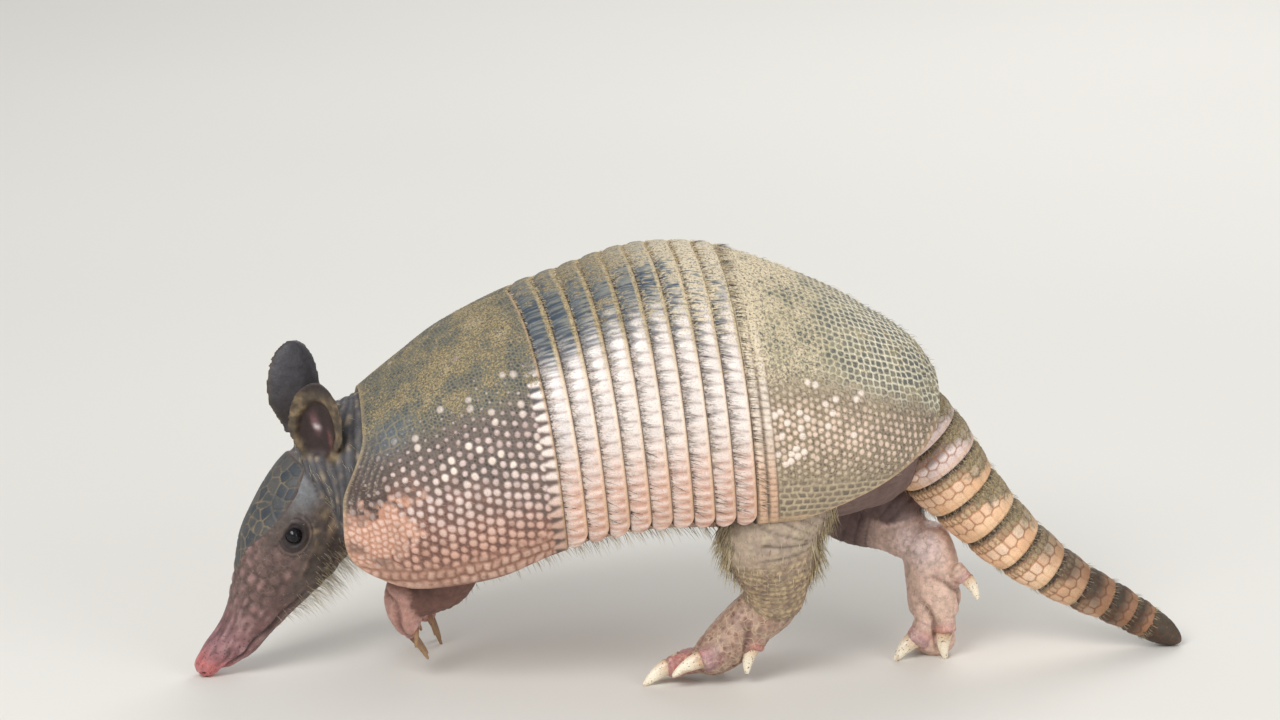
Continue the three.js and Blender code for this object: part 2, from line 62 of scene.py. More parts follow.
RINGS_SHARE = 0.84  # of the tail's length; the tip has no rings
EYE_RADIUS = 3.6
SKIN_VOXEL = 0.8
HEAD_LENGTH = 100.0
HAIR_MAP = 260  # the length of body or limb that the hairs' bake map spans


def table(names, rows):
    """Named columns of numbers."""
    return dict(zip(names.split(), np.array(rows, float).T))


# The trunk's cross-section along x, as in the solids.
TRUNK = table("x width top mid margin belly", [
    (-124, 33, 103, 75, 45, 46),
    (-113, 37.5, 113, 76.5, 44.5, 42),
    (-95, 46.5, 127.5, 83, 44, 38),
    (-80, 52, 139, 87, 45.5, 38),
    (-56, 57, 151.5, 93, 51, 42),
    (-34, 59.5, 160, 96.5, 61, 49),
    (-8, 61, 169, 100, 68, 56),
    (10, 61.5, 171, 101, 70.5, 58),
    (28, 61.5, 169.5, 101, 71, 58),
    (48, 60, 163.5, 100.5, 72, 59),
    (65, 57, 156.5, 99, 72.5, 60),
    (79, 53, 150, 97.5, 73.5, 61),
    (90, 48, 143.5, 95.5, 75, 63),
    (100, 40.5, 137.5, 94, 76.5, 65),
    (109, 30.5, 130, 92.5, 78, 68),
    (117.5, 19, 118, 91, 79.5, 72),
])
# The head along its axis, t behind the nose tip.
HEAD = table("t width top under", [
    (-4.5, 0, -3.4, -3.4),
    (-3.2, 3.3, 0, -6.6),
    (0, 4.9, 1.4, -8),
    (5, 5.6, 1.7, -10.8),
    (10, 7.2, 1.5, -15.2),
    (16, 8.8, 1.2, -17.6),
    (24, 10.4, 2, -18.6),
    (34, 12.6, 5.6, -20.8),
    (45, 15.6, 10.8, -23.6),
    (54, 17.6, 14, -25.8),
    (64, 18.8, 15.6, -27.4),
    (76, 19.6, 16.4, -27.8),
    (88, 18.6, 15.2, -25.5),
    (97, 14.5, 10.6, -20),
    (HEAD_LENGTH + 2, 8, 4, -13),
    (HEAD_LENGTH + 4, 0, -4, -4),
])
NOSE = np.array([-175, -11.2, 6.1])
HEAD_TURN, HEAD_PITCH, HEAD_ROLL = 12.5, 56.0, 10.0  # degrees
EYE_PLACE = (65.0, 15.4, 3.6)  # behind the nose tip, aside and up, in the head's axes
# The tail's centre line and its thickness.
TAIL = table("i x y z r", [
    (0, 103, 0, 99, 18.2),
    (1, 115, 0.3, 85.3, 17.6),
    (2, 130, 0.9, 66.5, 14.7),
    (3, 150, 2, 46, 12.2),
    (4, 172, 3.9, 29.6, 9.4),
    (5, 192, 5.8, 18.2, 7.6),
    (6, 207, 7, 9, 6.2),
    (7, 219, 8, 1.4, 4.4),
])
# Legs and soles: centre, half-thickness fore and aft, half-thickness sideways.
LEGS = {
    "fl": [(-80, -26, 72, 0, 0), (-79, -27, 68, 11, 9), (-76, -26, 54, 13, 9), (-77, -24, 42.5, 10.4, 8.2),
           (-86, -21.5, 36, 8.6, 7.8), (-92, -19.5, 35, 8, 7.6), (-94, -18.5, 34, 0, 0)],
    "fr": [(-78, 27, 72, 0, 0), (-77, 28, 68, 11, 9), (-75, 29, 54, 12, 9), (-78, 28.5, 42, 9.5, 8),
           (-84.5, 28, 32, 7.6, 7.5), (-86, 28, 27, 6.4, 7), (-86, 28, 25, 0, 0)],
    "hl": [(62, -33, 92, 0, 0), (60, -34, 86, 17, 12), (49.5, -36.5, 67, 19.5, 15),
           (50.5, -34.5, 53, 18.2, 14), (51.5, -30.5, 40, 13, 11), (50.5, -27, 31, 10.6, 9.4),
           (49, -26, 27, 0, 0)],
    "hr": [(64, 31, 92, 0, 0), (66, 31.5, 86, 17, 13), (73, 31, 70, 18, 14), (86, 25, 55.5, 15, 12),
           (101, 16, 50, 10.8, 10), (111, 10, 46.5, 9.4, 9), (115, 8, 45, 0, 0)],
}
SOLES = {
    "fl": [(-93, -20, 43, 0, 0), (-93.6, -20, 39.5, 7.4, 8), (-94.2, -19.5, 32, 7.6, 9),
           (-92.8, -19, 25, 6, 8.6), (-91.6, -18.6, 21, 4, 7.2), (-91.2, -18.5, 19, 0, 0)],
    "fr": [(-85.5, 28, 34, 0, 0), (-86, 28, 31, 6, 7.8), (-86.6, 28, 23, 6, 8.6),
           (-85.8, 28, 16, 5.4, 8.4), (-84.8, 28, 11, 3.8, 7.2), (-84.4, 28, 9, 0, 0)],
    "hl": [(58, -25, 38, 0, 0), (53, -25.5, 33, 9.6, 8.8), (43, -26.5, 25, 10.4, 9.6),
           (32, -26.5, 14.4, 9.4, 10), (24, -26.5, 8.4, 6.6, 9.2), (20, -26.5, 6.6, 0, 0)],
    "hr": [(112.5, 9, 54, 0, 0), (113.5, 8.5, 50, 8, 8), (116.5, 6.5, 40, 10.6, 9.4),
           (118, 4.5, 28, 10.8, 10.8), (118.5, 4.5, 17, 9.4, 10.6), (118.5, 4.5, 12, 0, 0)],
}
# Each toe: its knuckle, its claw's root, the claw's tip, and the toe's radius.
TOES = {
    "fl": [((-91, -24.5, 31), (-89.6, -25, 24), (-89.6, -25.5, 15.2), 3.3),
           ((-93, -21, 25), (-91.6, -20.2, 18.4), (-84.6, -20, 8.4), 4.3),
           ((-93, -15.5, 25), (-91.4, -15, 18), (-84.8, -14.4, 8.8), 4.1),
           ((-92, -12, 30), (-90.5, -11.4, 24), (-87.2, -11, 17.4), 3)],
    "fr": [((-84.5, 21, 20.5), (-84, 19.8, 14), (-81.6, 19, 5.4), 3),
           ((-85, 25, 17), (-84, 24.6, 11), (-79, 24.4, -0.6), 4.1),
           ((-85, 31, 17), (-84, 31, 11), (-79.4, 31.4, -0.6), 4.2),
           ((-84.5, 35, 20.5), (-83.8, 35.6, 14), (-81.8, 36.6, 5), 3.2)],
    "hl": [((40, -17.5, 16), (36.5, -15.6, 9.4), (31, -14.6, 1), 4.2),
           ((26, -20.6, 8.8), (16.5, -19, 6.2), (5.5, -18, -0.5), 5),
           ((24, -27, 9), (10.8, -29, 6.6), (-0.6, -32, -0.5), 5.2),
           ((33, -32, 15), (23.4, -34.6, 11), (10.6, -36.6, 5), 5.4),
           ((46, -30.5, 21.5), (43.4, -32, 15.4), (40.4, -33.4, 4.4), 4.6)],
    "hr": [((125, -2.5, 38), (129.2, -4, 33.4), (134.8, -5.6, 24.8), 4),
           ((121.5, -2.5, 19), (122.6, -4.4, 11.6), (122.4, -4.4, -0.6), 4.8),
           ((115.5, -0.5, 15), (110.4, -3, 7.2), (101.4, -6.6, -0.6), 5.4),
           ((118, 9.5, 17), (116.4, 10.6, 9), (112, 11.4, -0.6), 5),
           ((121, 13.5, 24), (119.6, 15.4, 16), (116.6, 16.6, 5.6), 4)],
}
FINGER = 0.72  # how slender the forepaw's fingers are within their solids
KNEE = (112, 1, 47)  # where a painted highlight lies on the right hind leg
# The flesh under the tail, and the neck, with rows like those of the legs.
RUMP = [(88, 22, 76, 0, 0), (92, 20, 72, 14, 12), (101, 15, 64, 13.5, 11),
        (108, 11, 58, 10, 9), (112, 9, 54, 0, 0)]
NECK = [(-134, -1, 78, 0, 0), (-131, -0.5, 79, 17, 16), (-122, 0, 81, 25.5, 22),
        (-112, 0, 81, 31, 28), (-100, 0, 81, 33, 33), (-96, 0, 80, 0, 0)]
HEEL_PAD = ((118.5, 2.5, 6.1), (8.6, 6.4, 6.9))  # under the right hind toes: centre and half-sizes
# An ear's sizes; `widest` is a share of its length, and `end` is its tip's share of its width.
EAR = {"length": 37.0, "width": 11.8, "cup": 5.0, "widest": 0.42, "end": 0.12}
EARS = {  # root in the head's axes, the way the ear stands, and the way it opens
    "left": ((95, -13, 10.5), (0, -0.3, 0.95), (-0.36, -0.93, 0)),
    "right": ((98.5, 10.5, 12.5), (-0.06, 0.2, 0.98), (-0.45, 0.89, 0)),
}


# ---------------------------------------------------------------- sums
def along(rows, by, key, at):
    """The value of column `key` where column `by` is `at`, on a smooth curve through the rows."""
    xs, ys = rows[by], rows[key]
    at = np.clip(np.asarray(at, float), xs[0], xs[-1])
    last = len(xs) - 1
    n = np.arange(last + 1)
    before, after = np.maximum(n - 1, 0), np.minimum(n + 1, last)
    slope = (ys[after] - ys[before]) / (xs[after] - xs[before])
    i = np.clip(np.searchsorted(xs, at, "right") - 1, 0, last - 1)
    h = xs[i + 1] - xs[i]
    t = (at - xs[i]) / h
    t2, t3 = t * t, t * t * t
    ends = (2 * t3 - 3 * t2 + 1) * ys[i] + (3 * t2 - 2 * t3) * ys[i + 1]
    return ends + (t3 - 2 * t2 + t) * h * slope[i] + (t3 - t2) * h * slope[i + 1]


def smooth(a, b, v):
    """0 where v is at a, 1 where it is at b, and a smooth curve between."""
    t = np.clip((np.asarray(v, float) - a) / (b - a), 0, 1)
    return t * t * (3 - 2 * t)


def bump_at(v, centre, half):
    """1 at `centre`, falling smoothly to 0 at `half` to each side."""
    return smooth(half, 0, np.abs(v - centre))


def lerp(a, b, t):
    return a + (b - a) * t


def unit(v):
    v = np.asarray(v, float)
    return v / np.maximum(np.linalg.norm(v, axis=-1, keepdims=True), 1e-9)


def across_and_up(axis):
    """The level direction across an axis, and the one square to both."""
    across = unit(np.array([0.0, 1, 0]) - axis * axis[..., 1:2])
    return across, np.cross(axis, across)


def off_middle(v):
    """0 in the middle of each whole step of `v`, and 1 between two steps."""
    return np.abs(v % 1 - 0.5) * 2


def turns(count):
    """Even angles round a full turn, in radians."""
    return np.linspace(0, 2 * math.pi, count, endpoint=False)


def scrambled(cells, seed):
    """A steady random number from 0 to 1 for each row of whole numbers."""
    n = np.uint32(seed * 7919 + 17) * np.ones(cells.shape[:-1], np.uint32)
    for k, factor in enumerate((73856093, 19349663, 83492791)[: cells.shape[-1]]):
        n ^= (cells[..., k] & 0xFFFFFFFF).astype(np.uint32) * np.uint32(factor)
        n = (n ^ (n >> np.uint32(13))) * np.uint32(1274126177)
    n ^= n >> np.uint32(16)
    return n.astype(float) / 4294967295.0


def noise(points, size, seed=0):
    """Smooth noise from -1 to 1, with lumps about `size` mm across."""
    p = np.asarray(points, float) / size
    base = np.floor(p).astype(np.int64)
    f = p - base
    f = f * f * (3 - 2 * f)
    total = 0
    for corner in np.ndindex(*(2,) * p.shape[-1]):
        c = np.array(corner)
        weight = np.prod(np.where(c, f, 1 - f), axis=-1)
        total = total + weight * scrambled(base + c, seed)
    return 2 * total - 1


def rough_noise(points, size, seed=0):
    """Noise with three octaves."""
    return sum(noise(points, size / 2**k, seed + k) * 0.6**k for k in range(3)) / 1.6


def warped(points, size, by, seed):
    """Points pushed about by smooth noise, so that what is laid out by them comes out uneven."""
    return points + by * np.stack([noise(points, size, seed + k) for k in range(3)], -1)


def colour(r, g, b):
    """A colour on the 0 to 255 scale of screens, as light."""
    c = np.array([r, g, b], float) / 255
    return np.where(c <= 0.04045, c / 12.92, ((c + 0.055) / 1.055) ** 2.4)


def as_light(tint):
    """A tint as light, if it is given by three numbers as on screens."""
    return colour(*tint) if isinstance(tint, tuple) else tint


def blend(a, b, t):
    """From colours a to colours b, by a share for each point."""
    a, b = as_light(a), as_light(b)
    return a + (b - a) * np.clip(np.asarray(t, float), 0, 1)[..., None]


def layered(tint, *layers):
    """A tint with layers laid over it in turn: a colour or colours, and the share at each point."""
    for over, share in layers:
        tint = blend(tint, over, share)
    return tint


# ---------------------------------------------------------------- the animal's surfaces
def trunk_point(x, degrees, inset=0.0):
    """The shell's surface at x and `degrees` from the ridge, positive on the left, sunk by `inset`."""
    a = np.radians(degrees)
    width, top = along(TRUNK, "x", "width", x) - inset, along(TRUNK, "x", "top", x) - inset
    mid = along(TRUNK, "x", "mid", x)
    down = 2 * (mid - along(TRUNK, "x", "margin", x))
    z = mid + np.where(np.abs(degrees) < 90, top - mid, down) * np.cos(a)
    return np.stack(np.broadcast_arrays(x, -width * np.sin(a), z), -1)


def skew(degrees):
    """How much further back the shell's edges lie on the left."""
    return 2.5 * np.sin(np.radians(degrees))


def front_edge(degrees):
    """Where along x the front shield begins."""
    a = np.abs(degrees)
    return -111.5 - 8.5 * smooth(48, 88, a) + 29 * (a / SHELL_ARC) ** 26 + skew(degrees)


def band_edge(i, degrees):
    """Where along x the i-th band ends; the front shield counts as 0."""
    lean = (15.3 - 0.7 * i) * (1 - np.cos(np.radians(degrees))) ** 0.6
    return -52 + BAND_PITCH * i + lean + skew(degrees)


def rear_edge(degrees):
    """Where along x the rear shield ends."""
    return 117 - 60 * np.abs(degrees / SHELL_ARC) ** 6 + skew(degrees) / 2


def head_axes():
    """The ways back along the head, to its right and up from it."""
    turn, pitch, roll = (math.radians(v) for v in (HEAD_TURN, HEAD_PITCH, HEAD_ROLL))
    forward = -np.array([math.cos(turn) * math.cos(pitch), math.sin(turn) * math.cos(pitch), math.sin(pitch)])
    level = np.array([-math.sin(turn), math.cos(turn), 0])
    right = level * math.cos(roll) - np.cross(forward, level) * math.sin(roll)
    return -forward, right, np.cross(right, forward)


BACK, RIGHT, UP = head_axes()


def head_point(t, right, up):
    t, right, up = (np.asarray(v, float)[..., None] for v in (t, right, up))
    return NOSE + t * BACK + right * RIGHT + up * UP


def head_surface(t, angle, grow=0.0):
    """The head `t` behind the nose tip, at an angle in radians from its crown towards its right side."""
    top, under = along(HEAD, "t", "top", t), along(HEAD, "t", "under", t)
    width = np.maximum(along(HEAD, "t", "width", t) + grow, 0)
    half = np.maximum((top - under) / 2 + grow, 0)
    return head_point(t, width * np.sin(angle), (top + under) / 2 + half * np.cos(angle))


def in_head(points):
    """Points in the head's axes: behind the nose tip, to its right and up."""
    d = points - NOSE
    return d @ BACK, d @ RIGHT, d @ UP


def tail_line(s):
    """The tail's centre, axis, side and up vectors and radius, at shares s of its length."""
    last = len(TAIL["i"]) - 1

    def centre(at):
        return np.stack([along(TAIL, "i", key, np.clip(at, 0, 1) * last) for key in "xyz"], -1)

    axis = unit(centre(s + 0.01) - centre(s - 0.01))
    return centre(s), axis, *across_and_up(axis), along(TAIL, "i", "r", np.clip(s, 0, 1) * last)


SHIFT = np.array(sum(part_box("eye_left"), Vector())) / 2 / MM - head_point(
    EYE_PLACE[0], -EYE_PLACE[1], EYE_PLACE[2])
SHIFT[2] = 0.0  # the ground is at 0 in both frames


# ---------------------------------------------------------------- meshes
def piece(name, points, faces, replaced, slot, material, **attributes):
    """A new smooth mesh on the model, from points in millimetres, standing for the nodes `replaced`."""
    mesh = bpy.data.meshes.new(name)
    mesh.from_pydata(((points + SHIFT) * MM).tolist(), [], faces)
    mesh.shade_smooth()
    write_attributes(mesh, attributes)
    return register(bpy.data.objects.new(name, mesh), replaced, slot, material)


def write_attributes(mesh, attributes):
    """Stores numbers or colours at the mesh's points."""
    for key, values in attributes.items():
        values = np.asarray(values, np.float32)
        if values.ndim == 2:
            store = mesh.attributes.new(key, "FLOAT_COLOR", "POINT")
            values = np.concatenate([values, np.ones((len(values), 1), np.float32)], 1)
            store.data.foreach_set("color", values.ravel())
        else:
            mesh.attributes.new(key, "FLOAT", "POINT").data.foreach_set("value", values)


def register(obj, replaced, slot, material):
    if not obj.users_collection:
        bpy.context.scene.collection.objects.link(obj)
    obj.data.materials.clear()
    obj.data.materials.append(material)
    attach(obj, "root")
    if replaced:
        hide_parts(*replaced)
    return obj


def hairs(name, roots, way, length, bend, tint, place, thick=0.085):
    """Thin three-sided hairs as one mesh. `bend` curves them, and `place` is each root's place from 0 to 1 on
    an unwrap of what it grows from, where its own small patch of the bake map lies."""
    count, steps, patch = len(roots), 4, 0.003
    way = unit(way)
    first = unit(np.cross(way, [0.3, 0.2, 1.0]))
    second = np.cross(way, first)
    t = np.arange(steps)[:, None] / steps
    line = roots[:, None] + (way[:, None] * t + bend[:, None] * t**2) * length[:, None, None]
    turn = np.arange(3) * 2 * math.pi / 3
    ring = first[:, None] * np.cos(turn)[:, None] + second[:, None] * np.sin(turn)[:, None]
    points = line[:, :, None] + ring[:, None] * (thick * (1 - t) ** 0.5)[None, :, :, None]
    tips = roots + (way + bend) * length[:, None]
    points = np.concatenate([points.reshape(count, -1, 3), tips[:, None]], 1)
    tip = 3 * steps
    faces = [(2, 1, 0)] + [(tip - 3 + j, tip - 3 + (j + 1) % 3, tip) for j in range(3)]
    for k in range(steps - 1):
        for j in range(3):
            a, b = 3 * k + j, 3 * k + (j + 1) % 3
            faces += [(a, b, b + 3), (a, b + 3, a + 3)]
    faces = np.array(faces)
    all_faces = (faces[None] + (np.arange(count) * (tip + 1))[:, None, None]).reshape(-1, 3).tolist()
    made = piece(name, points.reshape(-1, 3), all_faces, [], "skin", HAIR, tint=np.repeat(tint, tip + 1, 0))
    corner = np.array([[j / 2, k / steps] for k in range(steps) for j in range(3)] + [[0.5, 1.0]]) * patch
    uv = np.clip(place, 0, 1 - patch)[:, None, None] + corner[faces][None]
    made.data.uv_layers.new(name="OFBake").data.foreach_set("uv", uv.astype(np.float32).ravel())
    return made


def grid_faces(rows, columns, start=0, close_rows=False, close_columns=False):
    """Quads over a grid of points stored row by row."""
    i, j = np.meshgrid(np.arange(rows if close_rows else rows - 1),
                       np.arange(columns if close_columns else columns - 1), indexing="ij")
    i2, j2 = (i + 1) % rows, (j + 1) % columns
    corners = [i * columns + j, i * columns + j2, i2 * columns + j2, i2 * columns + j]
    return np.stack(corners, -1).reshape(-1, 4) + start


def tube_faces(rows, around, start=0):
    """The faces of a tube of rings of points, with a flat cap at each end."""
    first = np.arange(around) + start
    caps = [first[::-1].tolist(), (first + (rows - 1) * around).tolist()]
    return grid_faces(rows, around, start, close_columns=True).tolist() + caps


def slab_faces(rows, around):
    """The faces of a slab whose rows of points go over it and back underneath, with both sides capped."""
    loop = np.arange(rows) * around
    caps = [loop[::-1].tolist(), (loop + around - 1).tolist()]
    return grid_faces(rows, around, close_rows=True).tolist() + caps


def grid_normals(p):
    """Normals of a grid of points, by differences."""
    return unit(np.cross(np.gradient(p, axis=0), np.gradient(p, axis=1)))


def spaced(points, gap, seed):
    """One of the points from each cube of side `gap` that holds any."""
    order = np.random.default_rng(seed).permutation(len(points))
    _, first = np.unique(np.floor(points[order] / gap).astype(int), axis=0, return_index=True)
    return points[order[first]]


class Cells:
    """Scutes or granules round a set of seeds: which one each point is in, and how deep inside it."""

    def __init__(self, seeds):
        self.seeds = seeds
        self.tree = KDTree(len(seeds))
        for n, seed in enumerate(seeds):
            self.tree.insert(seed, n)
        self.tree.balance()

    def at(self, points):
        """The nearest seed's number, the distance to it, and to the border with its neighbour."""
        near = np.array([[(q[1], q[2]) for q in self.tree.find_n(p, 2)] for p in points.reshape(-1, 3)])
        d1, d2 = near[:, 0, 1], near[:, 1, 1]
        shape = points.shape[:-1]
        return near[:, 0, 0].astype(int).reshape(shape), d1.reshape(shape), ((d2 - d1) / 2).reshape(shape)


# ---------------------------------------------------------------- materials
class Nodes:
    """A material's node tree, built by short calls."""

    def __init__(self, name):
        self.material = bpy.data.materials.new(name)
        self.material.use_nodes = True
        self.tree = self.material.node_tree
        self.shader = self.tree.nodes["Principled BSDF"]

    def add(self, kind, inputs=None, **settings):
        node = self.tree.nodes.new(kind)
        for key, value in settings.items():
            setattr(node, key, value)
        for key, value in (inputs or {}).items():
            self.put(node.inputs[key], value)
        return node

    def put(self, socket, value):
        if isinstance(value, bpy.types.NodeSocket):
            self.tree.links.new(value, socket)
        else:
            socket.default_value = value

    def attribute(self, name, output="Fac"):
        return self.add("ShaderNodeAttribute", attribute_name=name).outputs[output]

    def object_place(self):
        return self.add("ShaderNodeTexCoord").outputs["Object"]

    def noise(self, size, detail=2.0, stretch=None):
        """Noise with lumps about `size` mm across; `stretch` scales its three axes."""
        place = self.object_place()
        if stretch:
            place = self.add("ShaderNodeMapping", {"Vector": place, "Scale": stretch}).outputs["Vector"]
        inputs = {"Vector": place, "Scale": 1 / (size * MM), "Detail": detail}
        return self.add("ShaderNodeTexNoise", inputs).outputs["Fac"]

    def cells(self, size):
        """The distance to the nearest border between cells about `size` mm across."""
        inputs = {"Vector": self.object_place(), "Scale": 1 / (size * MM)}
        return self.add("ShaderNodeTexVoronoi", inputs, feature="DISTANCE_TO_EDGE").outputs["Distance"]

    def ramp(self, value, low, high, to_low=0.0, to_high=1.0):
        inputs = {"Value": value, "From Min": low, "From Max": high, "To Min": to_low, "To Max": to_high}
        return self.add("ShaderNodeMapRange", inputs, interpolation_type="SMOOTHSTEP").outputs["Result"]

    def sum(self, kind, a, b):
        return self.add("ShaderNodeMath", {0: a, 1: b}, operation=kind).outputs[0]

    def mix(self, a, b, share, kind="MIX"):
        node = self.add("ShaderNodeMix", data_type="RGBA", blend_type=kind)
        for n, value in ((0, share), (6, a), (7, b)):
            if isinstance(value, np.ndarray):
                value = (*value, 1.0)
            self.put(node.inputs[n], value)
        return node.outputs[2]

    def bump(self, height, distance, under=None):
        """A bump of `distance` mm over another bump."""
        inputs = {"Height": height, "Distance": distance * MM, "Strength": 1.0}
        if under:
            inputs["Normal"] = under
        return self.add("ShaderNodeBump", inputs).outputs["Normal"]

    def finish(self, base, rough, normal=None, **fixed):
        self.put(self.shader.inputs["Base Color"], base)
        self.put(self.shader.inputs["Roughness"], rough)
        if normal:
            self.put(self.shader.inputs["Normal"], normal)
        for key, value in fixed.items():
            self.shader.inputs[key.replace("_", " ")].default_value = value
        return self.material


def horn_material(name, low_rough, high_rough, stretch=(1, 1, 1)):
    """Scutes: the painted tint, waxier where `gloss` is high, under dry earth laid on in grains by `dust`,
    with thin dark lines along the body where `comb` is high."""
    n = Nodes(name)
    dust = n.attribute("dust")
    lay = n.sum("ADD", n.noise(0.9, 4, stretch), n.sum("MULTIPLY", dust, 0.5))
    earth = n.ramp(lay, 0.62, 0.86)
    soil = n.mix(colour(122, 108, 80), colour(182, 162, 120), n.ramp(n.noise(0.7, 3), 0.35, 0.65))
    soil = n.mix(soil, colour(238, 220, 188), n.sum("MULTIPLY", n.attribute("bright"), 0.85))
    thread = n.ramp(n.noise(0.5, 1, (0.07, 1, 1)), 0.5, 0.62)
    thread = n.sum("MULTIPLY", thread, n.attribute("comb"))
    tint = n.mix(n.attribute("tint", "Color"), colour(72, 64, 62), thread)
    tint = n.mix(tint, soil, n.sum("MULTIPLY", earth, 0.8))
    crumb = n.sum("MULTIPLY", n.ramp(n.noise(0.85, 2), 0.5, 0.64), n.sum("MULTIPLY", dust, 0.8))
    tint = n.mix(tint, colour(66, 72, 74), crumb)
    shade = n.ramp(n.noise(0.5, 2), 0.45, 0.72, 1.04, 0.82)
    tint = n.mix(tint, shade, 1.0, "MULTIPLY")
    rough = n.ramp(n.attribute("gloss"), 0, 1, high_rough, low_rough)
    rough = n.sum("ADD", rough, n.ramp(earth, 0, 1, 0, 0.25))
    grain = n.bump(n.noise(0.5, 3), 0.07)
    grain = n.bump(lay, 0.12, grain)
    return n.finish(tint, rough, grain)


def skin_material():
    """Bare hide: the painted tint under a net of raised pale lines, pores, creases and dark specks."""
    n = Nodes("skin")
    scaly, fine = n.attribute("scaly"), n.attribute("fine")
    edge = n.ramp(n.cells(2.6), 0.02, 0.13)
    line = n.sum("MULTIPLY", n.sum("SUBTRACT", 1.0, edge), n.ramp(n.noise(3.5, 1), 0.35, 0.6, 0.25, 1))
    net = n.sum("MULTIPLY", line, n.sum("MULTIPLY", scaly, 0.6))
    tint = n.mix(n.attribute("tint", "Color"), colour(214, 190, 160), net)
    speck = n.ramp(n.noise(0.8, 2), 0.58, 0.68)
    tint = n.mix(tint, colour(46, 34, 32), n.sum("MULTIPLY", speck, n.sum("MULTIPLY", fine, 0.7)))
    mottle = n.ramp(n.noise(2.6, 3), 0.3, 0.75, 1.14, 0.78)
    tint = n.mix(tint, mottle, 1.0, "MULTIPLY")
    rough = n.sum("ADD", n.ramp(n.attribute("gloss"), 0, 1, 0.66, 0.34), n.ramp(speck, 0, 1, 0, 0.08))
    normal = n.bump(n.sum("MULTIPLY", line, scaly), 0.2)
    normal = n.bump(n.cells(0.8), 0.07, normal)
    normal = n.bump(n.noise(1.2, 4), 0.18, normal)
    return n.finish(tint, rough, normal, Subsurface_Weight=0.06, Subsurface_Scale=0.002)


def claw_material():
    n = Nodes("claw")
    speck = n.ramp(n.noise(0.9, 2), 0.61, 0.67)
    tint = n.mix(n.attribute("tint", "Color"), colour(70, 48, 36), n.sum("MULTIPLY", speck, 0.8))
    streak = n.ramp(n.noise(0.5, 2), 0.3, 0.7, 0.88, 1.06)
    tint = n.mix(tint, streak, 1.0, "MULTIPLY")
    normal = n.bump(n.noise(0.45, 2), 0.06)
    return n.finish(tint, n.ramp(speck, 0, 1, 0.32, 0.6), normal)


def eye_material():
    n = Nodes("eye")
    fleck = n.ramp(n.noise(0.5, 2), 0.4, 0.7)
    tint = n.mix(n.attribute("tint", "Color"), colour(40, 34, 34), n.sum("MULTIPLY", fleck, 0.25))
    return n.finish(tint, n.ramp(fleck, 0, 1, 0.06, 0.1), IOR=1.34)


def hair_material():
    n = Nodes("hair")
    tint = n.mix(n.attribute("tint", "Color"), n.ramp(n.noise(2.0, 2), 0.3, 0.7, 0.8, 1.15), 1.0, "MULTIPLY")
    return n.finish(tint, n.ramp(n.noise(1.0, 1), 0.3, 0.7, 0.45, 0.6))


SHIELD_HORN = horn_material("shield_horn", 0.36, 0.72)
BAND_HORN = horn_material("band_horn", 0.3, 0.62, (0.22, 1, 1))
TAIL_HORN = horn_material("tail_horn", 0.4, 0.7)
SKIN = skin_material()
CLAW = claw_material()
EYE = eye_material()
HAIR = hair_material()

# Colours that are used more than once.
SLATE = colour(66, 76, 84)
IVORY = colour(240, 222, 208)
HORN_UNDER = colour(92, 74, 66)


# ---------------------------------------------------------------- the shell
def plates(s, round_mm, row, width, seed, soft=0.6):
    """Rows of scales like laid bricks: 1 on a scale, 0 in the furrows, and each scale's own number."""
    q = np.stack([s, round_mm], -1)
    s = s + 0.2 * row * noise(q, row * 1.3, seed)
    round_mm = round_mm + 0.22 * width * noise(q, width, seed + 1)
    line = np.floor(s / row)
    column = round_mm / width + 0.5 * (line % 2)
    into = (0.5 - np.abs((s / row) % 1 - 0.5)) * row
    aside = (0.5 - np.abs(column % 1 - 0.5)) * width
    own = scrambled(np.stack([line, np.floor(column)], -1).astype(np.int64), seed)
    return smooth(0.0, soft, into) * smooth(0.0, soft, aside), own


def to_margin(d):
    """The length from `d` degrees down to the shell's lower margin."""
    return (SHELL_ARC - d) * MARGIN_DEGREE


